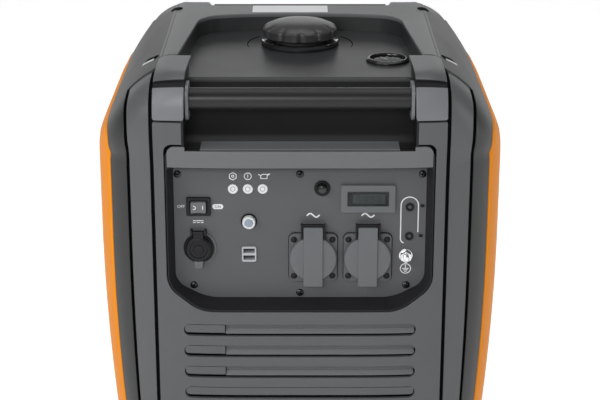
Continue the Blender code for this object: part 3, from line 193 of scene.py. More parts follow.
class Form:
    """Outer form of the case: a squared oval at each height, tabled by height"""

    PITCH = 0.001
    SOFTEN = 0.010
    FALL_FROM = 0.128
    FALL_ROUND = 0.060
    FALL_SLOPE = 0.30
    FALL_FADE = (0.400, 0.080)
    FALL_EDGE = (0.172, 0.040)
    REAR_SQUARE = 1.2
    REACH_LIMIT = 0.5

    def __init__(self, sizes):
        self.sizes = sizes
        self.top = sizes.top
        count = round(sizes.top / self.PITCH) + 1
        self.table = [self.section(i * self.PITCH) for i in range(count + 1)]

    def raw_half_width(self, z):
        s = self.sizes
        half, base, crown = s.width / 2, s.base_width / 2, s.crown_width / 2
        belly = s.top - s.belly_drop
        if z < belly:
            return half - (half - base) * ((belly - z) / (belly - BASE_Z)) ** 2
        rise = clamped((z - s.top + s.shoulder) / s.shoulder)
        return crown + (half - crown) * (1 - rise ** SHOULDER_POWER) ** (1 / SHOULDER_POWER)

    def section(self, z):
        s = self.sizes
        near = [self.raw_half_width(z + k * self.SOFTEN / 3) for k in range(-3, 4)]
        soft = sum(near) / len(near)
        away = clamped((s.top - z) / (2 * self.SOFTEN))
        half_width = soft * away + self.raw_half_width(z) * (1 - away)
        rise = clamped((z - s.top + s.front_round) / s.front_round)
        half_depth = s.crown_depth / 2 + (s.depth - s.crown_depth) / 2 * math.sqrt(1 - rise * rise)
        climb = clamped((z - s.top + s.shoulder) / s.shoulder)
        return half_width, half_depth, PLAN_POWER + (CROWN_POWER - PLAN_POWER) * climb

    def at(self, z):
        place = min(max(z / self.PITCH, 0.0), len(self.table) - 1.001)
        low = int(place)
        share = place - low
        return [a + (b - a) * share for a, b in zip(self.table[low], self.table[low + 1])]

    def fall(self, x, y, z):
        """How far the top has come down at a place behind its middle"""
        past = max(0.0, y - self.FALL_FROM)
        bend = self.FALL_SLOPE * self.FALL_ROUND
        drop = past * past / (2 * self.FALL_ROUND) if past < bend else self.FALL_SLOPE * (past - bend / 2)
        upper = clamped((z - self.FALL_FADE[0]) / self.FALL_FADE[1])
        return drop * upper * clamped((self.FALL_EDGE[0] - abs(x)) / self.FALL_EDGE[1])

    def outside(self, x, y, z):
        z += self.fall(x, y, z)
        if z > self.top:
            return True
        half_width, half_depth, power = self.at(z)
        if y > 0:
            climb = (power - PLAN_POWER) / (CROWN_POWER - PLAN_POWER)
            power *= 1 + self.REAR_SQUARE * climb * climb
        return (abs(x) / half_width) ** power + (abs(y) / half_depth) ** power > 1

    def skin_y(self, x, z):
        half_width, half_depth, power = self.at(z)
        return half_depth * max(0.0, 1 - (abs(x) / half_width) ** power) ** (1 / power)

    def skin_x(self, y, z):
        half_width, half_depth, power = self.at(z)
        return half_width * max(0.0, 1 - (abs(y) / half_depth) ** power) ** (1 / power)

    def reach(self, start, aim):
        """Way from a place inside the form to its skin"""
        def inside(way):
            return not self.outside(*(a + b * way for a, b in zip(start, aim)))
        return last_true(inside, self.REACH_LIMIT, 22)

    def on_line(self, x, start, aim, out):
        """Place on the skin, or out from it, along a line in Y and Z"""
        way = self.reach((x, *start), (0.0, *aim)) + out
        return Vector((x, start[0] + aim[0] * way, start[1] + aim[1] * way))

    def front(self, end):
        def chart(x, z, out):
            return Vector((x, end * (self.skin_y(x, z) + out), z))
        return chart

    def side(self, side):
        def chart(y, z, out):
            return Vector((side * (self.skin_x(y, z) + out), y, z))
        return chart

    def over(self, middle, height, turn):
        """Chart over the top: way along from the middle of the top, then across"""
        def chart(along, x, out):
            start, aim = station(along, middle, height, turn)
            return self.on_line(x, start, aim, out)
        return chart

    def hoop(self, side):
        """Chart of a side hoop: way along the hoop, then from its inner edge to its outer edge"""
        def chart(along, across, out):
            start, aim = station(along, HOOP_MIDDLE, HOOP_HEIGHT, HOOP_TURN)
            edge = side_edge(start, aim)
            outer = self.skin_x(start[0] + aim[0] * edge, start[1] + aim[1] * edge)
            x = HOOP_INNER + (outer - HOOP_INNER) * across / HOOP_BAND
            return self.on_line(side * x, start, aim, out)
        return chart


HOOP_MIDDLE = 0.140
HOOP_HEIGHT = 0.420
HOOP_TURN = 0.090
HOOP_BAND = 0.047
HOOP_END = HOOP_MIDDLE + HOOP_TURN * math.pi / 2 + HOOP_HEIGHT - SEAT_Z - SEAT_GAP


def station(along, middle, height, turn):
    """Start and direction, in Y and Z, of the line that meets the skin at a way over the top"""
    end = -1 if along < 0 else 1
    past = abs(along) - middle
    if past <= 0:
        return (along, height), (0.0, 1.0)
    angle = past / turn
    if angle <= math.pi / 2:
        return (end * middle, height), (end * math.sin(angle), math.cos(angle))
    return (end * middle, height - (past - turn * math.pi / 2)), (float(end), 0.0)


def in_side_outline(y, z, grow):
    centre = SIDE_TOP - SIDE_CORNER
    if z < centre:
        return abs(y) < SIDE_HALF + grow
    share = abs(y) / (SIDE_HALF + grow)
    return share ** SIDE_POWER + ((z - centre) / (SIDE_CORNER + grow)) ** SIDE_POWER < 1


def side_edge(start, aim):
    """Way along a line to the outline of the side cover"""
    grow = bpy.context.scene.case_sizes.seam

    def inside(way):
        return in_side_outline(start[0] + aim[0] * way, start[1] + aim[1] * way, grow)
    return last_true(inside, SIDE_EDGE_LIMIT, 20)


def side_outline(steps=28):
    """Edge of the side cover: upright below, a flat rounded arch above"""
    centre = SIDE_TOP - SIDE_CORNER
    foot = SEAT_Z + SIDE_GAP
    points = [(SIDE_HALF, foot)]
    for i in range(steps + 1):
        turn = math.pi * i / steps
        along, up = math.cos(turn), max(0, math.sin(turn))
        y = math.copysign(abs(along) ** (2 / SIDE_POWER), along)
        points.append((SIDE_HALF * y, centre + SIDE_CORNER * up ** (2 / SIDE_POWER)))
    points.append((-SIDE_HALF, foot))
    return points


# Mesh helpers

def outward(bm):
    """Turn the faces of a closed mesh outward"""
    bmesh.ops.recalc_face_normals(bm, faces=bm.faces)
    if bm.calc_volume(signed=True) < 0:
        bmesh.ops.reverse_faces(bm, faces=bm.faces)
    return bm


def new_verts(made):
    return [v for v in made if isinstance(v, bmesh.types.BMVert)]


def mirrored(right):
    """An outline from the corners of its right half"""
    return right + [(-u, *rest) for u, *rest in reversed(right)]


def rounded_face(bm, corners):
    """A flat face whose corners are (u, v) or (u, v, radius)"""
    verts = [bm.verts.new((c[0], c[1], 0.0)) for c in corners]
    bm.faces.new(verts)
    for radius in sorted({c[2] for c in corners if len(c) > 2 and c[2] > 0}):
        group = [v for v, c in zip(verts, corners) if len(c) > 2 and c[2] == radius]
        bmesh.ops.bevel(bm, geom=group, offset=radius, offset_type="OFFSET", affect="VERTICES",
                        segments=ARC_STEPS, profile=0.5, material=-1, clamp_overlap=False)


def rectangle(u, v, wide, high, radius=0.0):
    a, b = wide / 2, high / 2
    return [(u - a, v - b, radius), (u + a, v - b, radius), (u + a, v + b, radius), (u - a, v + b, radius)]


def circle(u, v, radius):
    return rectangle(u, v, radius * 2, radius * 2, radius)


def squared_oval(u, v, wide, high, power, count=48):
    points = []
    for i in range(count):
        across, up = math.cos(math.tau * i / count), math.sin(math.tau * i / count)
        points.append((u + wide / 2 * math.copysign(abs(across) ** (2 / power), across),
                       v + high / 2 * math.copysign(abs(up) ** (2 / power), up)))
    return points


def plate(outer, holes=(), depth=0.004, edge=0.0008, steps=2):
    """A flat closed plate with its front at height 0 and its front edges rounded"""
    bm = bmesh.new()
    for outline in (outer, *holes):
        rounded_face(bm, outline)
    bmesh.ops.remove_doubles(bm, verts=bm.verts, dist=NO_GAP)
    if holes:
        bmesh.ops.delete(bm, geom=bm.faces[:], context="FACES_ONLY")
        bmesh.ops.triangle_fill(bm, edges=bm.edges[:], use_beauty=True, normal=(0, 0, 1))
        bmesh.ops.dissolve_limit(bm, angle_limit=0.01, verts=[], edges=bm.edges[:])
    made = bmesh.ops.extrude_face_region(bm, geom=bm.faces[:], use_keep_orig=True)["geom"]
    bmesh.ops.translate(bm, verts=new_verts(made), vec=(0, 0, -depth))
    outward(bm)
    if edge:
        rim = [e for e in bm.edges if e.is_manifold and max(abs(v.co.z) for v in e.verts) < 1e-7
               and e.calc_face_angle() > RIM_ANGLE]
        bmesh.ops.bevel(bm, geom=rim, offset=edge, offset_type="OFFSET", affect="EDGES", segments=steps,
                        profile=0.5, material=-1, clamp_overlap=True, loop_slide=False)
    return bm


def gridded(bm, step_u=GRID, step_v=GRID):
    """Cut a plate into cells, so that it can bend"""
    for axis, step in ((0, step_u), (1, step_v)):
        low = min(v.co[axis] for v in bm.verts)
        high = max(v.co[axis] for v in bm.verts)
        count = math.ceil((high - low) / step)
        normal = [0.0, 0.0, 0.0]
        normal[axis] = 1.0
        for i in range(1, count):
            place = [0.0, 0.0, 0.0]
            place[axis] = low + (high - low) * i / count
            geom = bm.verts[:] + bm.edges[:] + bm.faces[:]
            bmesh.ops.bisect_plane(bm, geom=geom, dist=NO_GAP, plane_co=place, plane_no=normal)
    return bm


def pressed(bm, chart):
    """Move every place of a plate onto its chart"""
    for vert in bm.verts:
        vert.co = chart(*vert.co)
    return outward(bm)


def lifted(bm, height):
    bmesh.ops.translate(bm, verts=bm.verts, vec=(0, 0, height))
    return bm


def joined(*parts):
    """One mesh of several closed ones"""
    whole = bmesh.new()
    for part in parts:
        mesh = bpy.data.meshes.new("part")
        part.to_mesh(mesh)
        part.free()
        whole.from_mesh(mesh)
        bpy.data.meshes.remove(mesh)
    return whole


def turned(profile, edge=0.0, count=ROUND_STEPS):
    """A profile of (radius, height) turned about Z"""
    bm = bmesh.new()
    verts = [bm.verts.new((radius, 0, height)) for radius, height in profile]
    edges = [bm.edges.new(pair) for pair in zip(verts, verts[1:])]
    bmesh.ops.spin(bm, geom=verts + edges, cent=(0, 0, 0), axis=(0, 0, 1), angle=math.tau, steps=count,
                   use_merge=True)
    bmesh.ops.remove_doubles(bm, verts=bm.verts, dist=NO_GAP)
    bmesh.ops.dissolve_degenerate(bm, dist=1e-7, edges=bm.edges[:])
    outward(bm)
    if edge:
        rings = [e for e in bm.edges if e.is_manifold and e.calc_face_angle() > CREASE]
        bmesh.ops.bevel(bm, geom=rings, offset=edge, offset_type="OFFSET", affect="EDGES", segments=2,
                        profile=0.5, material=-1, clamp_overlap=True)
    return bm


TOWARDS = {
    "-Y": Matrix.Rotation(math.pi / 2, 4, "X"),
    "+Y": Matrix.Rotation(-math.pi / 2, 4, "X"),
    "+X": Matrix.Rotation(math.pi / 2, 4, "Y"),
    "-X": Matrix.Rotation(-math.pi / 2, 4, "Y"),
    "+Z": Matrix.Identity(4),
}


def stood(bm, place, way="+Z", roll=0.0):
    """Turn a mesh made along Z another way and put it in its place"""
    matrix = Matrix.Translation(place) @ TOWARDS[way] @ Matrix.Rotation(roll, 4, "Z")
    bmesh.ops.transform(bm, matrix=matrix, verts=bm.verts)
    return bm


def on_panel(u, v, out):
    return Vector((u, PLATE_Y - out, PANEL_Z + v))


def bar_between(start, end, line, depth, height, lap=0.0, radius=0.0, edge=0.0):
    """A flat bar along the line between two places, lapping a little over both"""
    along, up = end[0] - start[0], end[1] - start[1]
    bar = plate(rectangle(0, 0, math.hypot(along, up) + lap, line, radius), depth=depth, edge=edge)
    middle = ((start[0] + end[0]) / 2, (start[1] + end[1]) / 2, height)
    return stood(bar, middle, roll=math.atan2(up, along))


def strip(points, radii, half, thick):
    """A sheet bent along a path in Y and Z, as wide as twice half"""
    bm = bmesh.new()
    verts = [bm.verts.new((-half, y, z)) for y, z in points]
    edges = [bm.edges.new(pair) for pair in zip(verts, verts[1:])]
    made = bmesh.ops.extrude_edge_only(bm, edges=edges)["geom"]
    bmesh.ops.translate(bm, verts=new_verts(made), vec=(half * 2, 0, 0))
    bm.edges.ensure_lookup_table()
    for (y, z), radius in zip(points, radii):
        if radius:
            fold = [e for e in bm.edges if all(abs(v.co.y - y) + abs(v.co.z - z) < NO_GAP for v in e.verts)]
            folded(bm, fold, radius)
    return thickened(bm, thick, lambda: leaning(bm, 2) < 0)


def folded(bm, edges, radius):
    """Round the folds of a sheet"""
    bmesh.ops.bevel(bm, geom=edges, offset=radius, offset_type="OFFSET", affect="EDGES", segments=ARC_STEPS,
                    profile=0.5, material=-1, clamp_overlap=False)


def leaning(bm, axis):
    """Which way a sheet faces on the whole along an axis"""
    return sum(f.normal[axis] * f.calc_area() for f in bm.faces)


def end_leaning(bm, axis):
    """Which way the face furthest along an axis faces"""
    return max(bm.faces, key=lambda f: f.calc_center_median()[axis]).normal[axis]


def thickened(bm, thick, faces_wrong_way):
    """Give an open sheet a wall behind its face side"""
    bmesh.ops.recalc_face_normals(bm, faces=bm.faces)
    if faces_wrong_way():
        bmesh.ops.reverse_faces(bm, faces=bm.faces)
    bmesh.ops.solidify(bm, geom=bm.faces[:], thickness=thick)
    return outward(bm)


def piece(name, bm, material, body="case", replaces=()):
    """A named object of a mesh, with its finish, riding on a body of the frame"""
    mesh = bpy.data.meshes.new(name)
    bm.to_mesh(mesh)
    bm.free()
    mesh.shade_smooth()
    mesh.set_sharp_from_angle(angle=SMOOTH)
    mesh.materials.append(finish(material))
    obj = bpy.data.objects.new(name, mesh)
    bpy.context.scene.collection.objects.link(obj)
    normals = obj.modifiers.new("even_normals", "WEIGHTED_NORMAL")
    normals.keep_sharp = True
    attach(obj, body)
    if replaces:
        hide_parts(*replaces)


# Finishes

# Numbers of the colour sockets of a Mix node
MIX_A, MIX_B, MIX_RESULT = 6, 7, 2


def group_tree(name, inputs, outputs):
    tree = bpy.data.node_groups.new(name, "ShaderNodeTree")
    for label, value in inputs:
        socket = tree.interface.new_socket(label, in_out="INPUT", socket_type="NodeSocketFloat")
        socket.default_value = value
    for label in outputs:
        tree.interface.new_socket(label, in_out="OUTPUT", socket_type="NodeSocketFloat")
    return tree, tree.nodes.new("NodeGroupInput"), tree.nodes.new("NodeGroupOutput")


SLOW_SCALE = 14.0
GRAIN_HEIGHT = 0.0004
COAT_ROUGH = 0.12
CLEAR_IOR = 1.10


def math_node(tree, operation, slot, value):
    node = tree.nodes.new("ShaderNodeMath")
    node.operation = operation
    node.inputs[slot].default_value = value
    return node


def grain_group():
    """Fine moulded grain, slow mottling of the colour and a slow drift of the gloss"""
    if "Moulded grain" in bpy.data.node_groups:
        return bpy.data.node_groups["Moulded grain"]
    inputs = (("Grain scale", 900.0), ("Mottle", 0.06), ("Gloss drift", 0.05), ("Roughness", 0.4))
    tree, source, sink = group_tree("Moulded grain", inputs, ("Height", "Shade", "Roughness"))
    place = tree.nodes.new("ShaderNodeTexCoord")
    grain = tree.nodes.new("ShaderNodeTexNoise")
    grain.inputs["Detail"].default_value = 2.0
    slow = tree.nodes.new("ShaderNodeTexNoise")
    slow.inputs["Scale"].default_value = SLOW_SCALE
    slow.inputs["Detail"].default_value = 4.0
    shade = tree.nodes.new("ShaderNodeMapRange")
    lower = math_node(tree, "SUBTRACT", 0, 1.0)
    upper = math_node(tree, "ADD", 0, 1.0)
    centred = math_node(tree, "SUBTRACT", 1, 0.5)
    drift = tree.nodes.new("ShaderNodeMath")
    drift.operation = "MULTIPLY_ADD"
    link = tree.links.new
    for noise in (grain, slow):
        link(place.outputs["Object"], noise.inputs["Vector"])
    for bound in (lower, upper):
        link(source.outputs["Mottle"], bound.inputs[1])
    link(source.outputs["Grain scale"], grain.inputs["Scale"])
    link(grain.outputs["Fac"], sink.inputs["Height"])
    link(slow.outputs["Fac"], shade.inputs["Value"])
    link(lower.outputs[0], shade.inputs["To Min"])
    link(upper.outputs[0], shade.inputs["To Max"])
    link(shade.outputs["Result"], sink.inputs["Shade"])
    link(slow.outputs["Fac"], centred.inputs[0])
    link(centred.outputs[0], drift.inputs[0])
    link(source.outputs["Gloss drift"], drift.inputs[1])
    link(source.outputs["Roughness"], drift.inputs[2])
    link(drift.outputs[0], sink.inputs["Roughness"])
    return tree


def moulded(name, tint, rough, grain=900.0, bump=0.06, mottle=0.05, drift=0.10, metal=0.0, coat=0.0,
            shine=0.3):
    """Moulded or cast surface: colour, gloss and bump all come from the grain group"""
    material = bpy.data.materials.new(name)
    material.use_nodes = True
    nodes, link = material.node_tree.nodes, material.node_tree.links.new
    shader = nodes["Principled BSDF"]
    shader.inputs["Metallic"].default_value = metal
    shader.inputs["Specular IOR Level"].default_value = shine
    shader.inputs["Coat Weight"].default_value = coat
    shader.inputs["Coat Roughness"].default_value = COAT_ROUGH
    surface = nodes.new("ShaderNodeGroup")
    surface.node_tree = grain_group()
    surface.inputs["Grain scale"].default_value = grain
    surface.inputs["Mottle"].default_value = mottle
    surface.inputs["Gloss drift"].default_value = drift
    surface.inputs["Roughness"].default_value = rough
    mix = nodes.new("ShaderNodeMix")
    mix.data_type = "RGBA"
    mix.blend_type = "MULTIPLY"
    mix.inputs["Factor"].default_value = 1.0
    mix.inputs[MIX_A].default_value = (*tint, 1.0)
    bumps = nodes.new("ShaderNodeBump")
    bumps.inputs["Strength"].default_value = bump
    bumps.inputs["Distance"].default_value = GRAIN_HEIGHT
    link(surface.outputs["Shade"], mix.inputs[MIX_B])
    link(mix.outputs[MIX_RESULT], shader.inputs["Base Color"])
    link(surface.outputs["Roughness"], shader.inputs["Roughness"])
    link(surface.outputs["Height"], bumps.inputs["Height"])
    link(bumps.outputs["Normal"], shader.inputs["Normal"])
    return material


def clear(name, tint, rough):
    """Clear plastic that bends light only a little"""
    material = moulded(name, tint, rough, grain=300.0, bump=0.01, mottle=0.02, drift=0.04)
    shader = material.node_tree.nodes["Principled BSDF"]
    shader.inputs["Transmission Weight"].default_value = 1.0
    shader.inputs["IOR"].default_value = CLEAR_IOR
    return material


def finish(name):
    """The material of that name, made at its first use"""
    label = name + "_finish"
    if label in bpy.data.materials:
        return bpy.data.materials[label]
    if name == "clear_window":
        return clear(label, (0.90, 0.93, 0.93), 0.04)
    c = bpy.context.scene.case_colours
    finishes = {
        "cover_grey": dict(tint=c.cover, rough=0.46, bump=0.10),
        # lighter grey: on the louvre fins and the sill it is painted light
        "strip_grey": dict(tint=c.strip, rough=0.46, bump=0.08),
        "rocker_grey": dict(tint=(0.150, 0.155, 0.160), rough=0.40, bump=0.05),
        "hoop_dark": dict(tint=c.hoop, rough=0.38, bump=0.04),
        "rail_dark": dict(tint=c.rail, rough=0.40, bump=0.05, shine=0.32),
        "tray_dark": dict(tint=c.tray, rough=0.34, bump=0.06, shine=0.25),
        "cap_black": dict(tint=c.cap, rough=0.34, bump=0.04, mottle=0.10, shine=0.5),
        "bezel_black": dict(tint=c.bezel, rough=0.60, bump=0.05, mottle=0.10, shine=0.12),
        "top_dark": dict(tint=c.hoop, rough=0.37, bump=0.08),
        # lighter than cover_grey: painted light on the bracket blocks and bar collars
        "bracket_grey": dict(tint=c.bracket, rough=0.38, bump=0.05),
        "side_orange": dict(tint=c.orange, rough=0.48, bump=0.04, mottle=0.03, shine=0.08),
        # near-black painted shade for the front hand well and its cheeks
        "handle_black": dict(tint=c.bar, rough=0.40, bump=0.05, mottle=0.12, shine=0.2),
        "bar_black": dict(tint=c.bar, rough=0.38, bump=0.02, mottle=0.12, shine=0.36),
        "gloss_black": dict(tint=c.bar, rough=0.14, bump=0.02, mottle=0.12, shine=0.5),
        # near-black of seams and dark marks, also painted shade on the backing sheets, rail slits, screw
        # crosses and socket shadow lines
        "seam_black": dict(tint=(0.004, 0.004, 0.0045), rough=0.75, bump=0.05, shine=0.05),
        "panel_grey": dict(tint=c.panel, rough=0.50, grain=1400.0, bump=0.08),
        "flap_grey": dict(tint=c.flap, rough=0.46, bump=0.08),
        "control_black": dict(tint=c.black, rough=0.42, bump=0.06, mottle=0.10, shine=0.2),
        "usb_pale": dict(tint=c.pale, rough=0.42, bump=0.05),
        "button_pale": dict(tint=(0.30, 0.36, 0.43), rough=0.28, bump=0.03, coat=0.1),
        "mark_white": dict(tint=c.white, rough=0.55, bump=0.03, mottle=0.03),
        "lens_grey": dict(tint=(0.42, 0.44, 0.45), rough=0.18, bump=0.02, coat=0.2),
        "label_pale": dict(tint=(0.80, 0.81, 0.82), rough=0.40, bump=0.03, mottle=0.02),
        "screen_dark": dict(tint=(0.008, 0.009, 0.010), rough=0.25, bump=0.02),
        "screen_grey": dict(tint=(0.036, 0.040, 0.041), rough=0.30, bump=0.02),
        "foot_rubber": dict(tint=(0.020, 0.020, 0.021), rough=0.75, grain=500.0, bump=0.2, mottle=0.15),
        "base_black": dict(tint=(0.026, 0.026, 0.028), rough=0.58, grain=600.0, bump=0.2, mottle=0.10),
        "cast_aluminium": dict(tint=(0.50, 0.51, 0.52), rough=0.48, grain=420.0, bump=0.3, metal=1.0),
        "bright_steel": dict(tint=(0.62, 0.62, 0.63), rough=0.26, grain=700.0, bump=0.04, metal=1.0),
        "rotor_iron": dict(tint=(0.22, 0.22, 0.23), rough=0.45, grain=420.0, bump=0.2, metal=1.0),
        "winding_copper": dict(tint=(0.60, 0.27, 0.12), rough=0.36, grain=260.0, bump=0.5, metal=1.0),
    }
    return moulded(label, **finishes[name])


# Finish of the solids that are shown as they are, by their slot
INSIDE = {
    "engine_aluminium": "cast_aluminium",
    "bright_steel": "bright_steel",
    "rotor_iron": "rotor_iron",
    "winding_copper": "winding_copper",
    "base_black": "base_black",
    "foot_rubber": "foot_rubber",
}


# Shells

LOUVRE_Z = 0.2535
LOUVRE_PITCH = 0.0239
LOUVRES = 7
LOUVRE_WIDE = 0.2428
LOUVRE_HIGH = 0.0130
LOUVRE_ROUND = LOUVRE_HIGH * 0.49
LOUVRE_BACK = {"lap": 0.02, "drop": -0.0062}
PLUG_END = -0.0784
SPLIT_LOUVRES = 3
PLUG_GAP = 0.0036
PLUG_HEAD_GAP = 0.0006
PLUG_SIDE_GAPS = (0.0008, 0.0010)
PLUG_CORNER = 0.0035
PLUG_CUT_CORNER = 0.0004
PLUG_SINK = 0.0007
FIN_LOW = -0.0037
FIN_HIGH = 0.0012
FIN_DROP = -0.0034
FIN_SLANT = 0.75
FIN_GAPS = (0.0006, 0.0014)
FIN_ROUND = 0.0020
SHADE_DROP = -0.0046
BEZEL_HALF = 0.1370
BEZEL_TOP = 0.4500
BEZEL_BOTTOM = 0.2752
BEZEL_CORNER_Z = 0.3005
BEZEL_BOTTOM_HALF = 0.1027
WINDOW_GAP = 0.0010
WINDOW_TOP = 0.4562
WINDOW_ROUND = 0.008
BEZEL_ROUND = 0.012
COVER_ROUND = 0.002
BACKING_GRID = 0.02


def louvre_holes():
    return [rectangle(0, LOUVRE_Z - i * LOUVRE_PITCH, LOUVRE_WIDE, LOUVRE_HIGH, LOUVRE_ROUND)
            for i in range(LOUVRES)]


def make_front_cover(form):
    half, bottom = BEZEL_HALF + WINDOW_GAP, BEZEL_BOTTOM_HALF + WINDOW_GAP
    notch = WELL_HALF[-1] + CHEEK
    right = [(CENTRE_HALF, SEAT_Z + SEAT_GAP), (CENTRE_HALF, COVER_TOP, COVER_ROUND), (notch, COVER_TOP),
             (notch, WINDOW_TOP), (half, WINDOW_TOP, WINDOW_ROUND), (half, BEZEL_CORNER_Z, BEZEL_ROUND),
             (bottom, BEZEL_BOTTOM - WINDOW_GAP, BEZEL_ROUND)]
    cover = plate(mirrored(right), louvre_holes(), depth=form.sizes.wall, edge=0.0018, steps=EDGE_STEPS)
    cover = pressed(gridded(cover), form.front(-1))
    piece("front_shell", cover, "cover_grey", replaces=("front_cover",))
    make_louvres(form, -1, SPLIT_LOUVRES)


def make_louvres(form, end, split):
    """Blind plugs in the louvre slots, short ones with a slanted fin beside them, and a dark sheet behind"""
    name = "front" if end < 0 else "rear"
    chart = form.front(end)
    left, right = -LOUVRE_WIDE / 2 + PLUG_SIDE_GAPS[0], LOUVRE_WIDE / 2
    start, stop = PLUG_END + FIN_GAPS[0], right - FIN_GAPS[1]
    plugs, fins, shades = [], [], []
    for i in range(LOUVRES):
        z = LOUVRE_Z - i * LOUVRE_PITCH
        head = z + LOUVRE_HIGH / 2
        low, high = z - LOUVRE_HIGH / 2 + PLUG_GAP, head - PLUG_HEAD_GAP
        plug_right = PLUG_END if i < split else right - PLUG_SIDE_GAPS[1]
        corner = PLUG_CUT_CORNER if i < split else PLUG_CORNER
        outline = [(left, low, PLUG_CORNER), (plug_right, low, corner), (plug_right, high, corner),
                   (left, high, PLUG_CORNER)]
        plug = gridded(plate(outline, depth=0.003, edge=0.0006))
        plugs.append(pressed(lifted(plug, -PLUG_SINK), chart))
        if i < split:
            outline = [(start, FIN_LOW), (stop, FIN_LOW, FIN_ROUND), (stop, FIN_HIGH, FIN_ROUND),
                       (start, FIN_HIGH)]
            fin = gridded(plate(outline, depth=0.0012, edge=0.0004))
            for vert in fin.verts:
                vert.co.z += FIN_DROP - vert.co.y * FIN_SLANT
                vert.co.y += z
            fins.append(pressed(fin, chart))
            shade = plate([(start, z), (stop, z), (stop, head), (start, head)], depth=SHEET, edge=0)
            shades.append(pressed(lifted(gridded(shade), SHADE_DROP), chart))
    piece(name + "_louvre_plugs", joined(*plugs), "cover_grey")
    if fins:
        # the fins take the lighter strip colour as painted light on their up-facing slant
        piece(name + "_louvre_fins", joined(*fins), "strip_grey")
        piece(name + "_louvre_shades", joined(*shades), "panel_grey")
    # near-black sheet behind the slots: painted shade seen through the gaps round the plugs and fins
    middle = LOUVRE_Z - (LOUVRES - 1) * LOUVRE_PITCH / 2
    outline = rectangle(0, middle, LOUVRE_WIDE + LOUVRE_BACK["lap"], LOUVRES * LOUVRE_PITCH, radius=0.004)
    sheet = gridded(plate(outline, depth=SHEET, edge=0), BACKING_GRID, BACKING_GRID)
    sheet = pressed(lifted(sheet, LOUVRE_BACK["drop"]), chart)
    piece(name + "_louvre_backing", sheet, "seam_black")


TAIL_X = -0.050
TAIL_Z = 0.3253
TAIL_HOLE = 0.0172
TAIL_RING = 0.0245
REAR_COVER_TOP = 0.4478


def make_rear_cover(form):
    half = WELL_HALF[1] + CHEEK
    right = [(CENTRE_HALF, SEAT_Z + SEAT_GAP), (CENTRE_HALF, COVER_TOP, COVER_ROUND), (half, COVER_TOP),
             (half, REAR_COVER_TOP, 0.003)]
    holes = louvre_holes() + [circle(TAIL_X, TAIL_Z, TAIL_HOLE)]
    cover = plate(mirrored(right), holes, depth=form.sizes.wall, edge=0.0012, steps=EDGE_STEPS)
    cover = pressed(gridded(cover), form.front(1))
    piece("rear_shell", cover, "cover_grey", replaces=("rear_cover",))
    make_louvres(form, 1, 0)
    bore = TAIL_HOLE + 0.0006
    ring = turned([(bore, -0.003), (TAIL_RING, -0.003), (TAIL_RING, 0.0008), (TAIL_RING - 0.0010, 0.0022),
                   (bore + 0.0008, 0.0022), (bore, 0.0010), (bore, -0.003)])
    face = form.skin_y(TAIL_X, TAIL_Z)
    piece("outlet_ring", stood(ring, (TAIL_X, face, TAIL_Z), "+Y"), "base_black")


GROOVE_ACROSS = 0.0252
RAIL_ARC = ((-0.1360, 0.0268, 0.006), (-0.1440, 0.0165, 0.010), (-0.1580, 0.0))
RAIL_LAP = 0.0078
RAIL_SINK = 0.0002
REAR_SHIFT = 0.034
RAIL_GRID = (0.008, 0.006)
BAND_TURN = 0.1360
BAND_STEP = (0.1443, 0.0158)
BAND_INNER = 0.1580
HOOP_BACK_DROP = 0.0052


def make_hoops(form):
    """Outer rail, sunk inner bands and dark backing of each side hoop"""
    s = form.sizes
    gap = s.groove
    rail_edge, band_edge = GROOVE_ACROSS + gap / 2, GROOVE_ACROSS - gap / 2
    inset = BACKING_INNER - HOOP_INNER
    for name, side in (("left", -1), ("right", 1)):
        chart = form.hoop(side)
        front = [(-HOOP_END, HOOP_BAND), (-HOOP_END, rail_edge), *RAIL_ARC, (RAIL_ARC[-1][0], -RAIL_LAP)]
        rear = [(HOOP_END if -c[0] == HOOP_END else REAR_SHIFT - c[0], *c[1:]) for c in reversed(front)]
        rail = plate(front + rear, depth=s.wall, edge=0.0014, steps=EDGE_STEPS)
        rail = pressed(lifted(gridded(rail, *RAIL_GRID), -RAIL_SINK), chart)
        piece(name + "_hoop_rail", rail, "rail_dark", replaces=(name + "_hoop",))
        bands = []
        for end, shift in ((-1, gap), (1, gap + REAR_SHIFT)):
            outline = [(end * HOOP_END, 0.0), (end * HOOP_END, band_edge),
                       (end * (BAND_TURN + shift), band_edge, 0.006),
                       (end * (BAND_STEP[0] + shift), BAND_STEP[1], 0.009), (end * (BAND_INNER + shift), 0.0)]
            band = gridded(plate(outline, depth=0.003, edge=0.0012, steps=EDGE_STEPS), *RAIL_GRID)
            bands.append(pressed(lifted(band, -s.band_drop), chart))
        piece(name + "_hoop_bands", joined(*bands), "hoop_dark")
        # near-black sheet under the groove: painted shade seen through it
        outline = rectangle(0, (inset + HOOP_BAND) / 2, HOOP_END * 2, HOOP_BAND - inset)
        back = gridded(plate(outline, depth=SHEET, edge=0), 0.012, 0.010)
        back = pressed(lifted(back, -HOOP_BACK_DROP), chart)
        piece(name + "_hoop_backing", back, "seam_black")


POCKET_Z = 0.225
POCKET = (0.132, 0.064)
POCKET_ROUND = 0.012
POCKET_FLOOR_X = -0.1866
POCKET_GAP = 0.0006
POCKET_WALL = 0.0015
DOOR_Y = 0.030
DOOR_Z = 0.240
DOOR = (0.140, 0.160)
DOOR_ROUND = 0.014
DOOR_SEAM = 0.0006


def make_side_covers(form):
    s = form.sizes
    pocket = rectangle(0, POCKET_Z, *POCKET, POCKET_ROUND)
    door = rectangle(DOOR_Y, DOOR_Z, *DOOR, DOOR_ROUND)
    for name, side, hole in (("left", -1, pocket), ("right", 1, door)):
        cover = plate(side_outline(), (hole,), depth=s.wall, edge=0.0016, steps=EDGE_STEPS)
        cover = pressed(lifted(gridded(cover), s.side_proud), form.side(side))
        piece(name + "_side_shell", cover, "side_orange", replaces=(name + "_side_cover",))
    make_pocket(form, pocket)


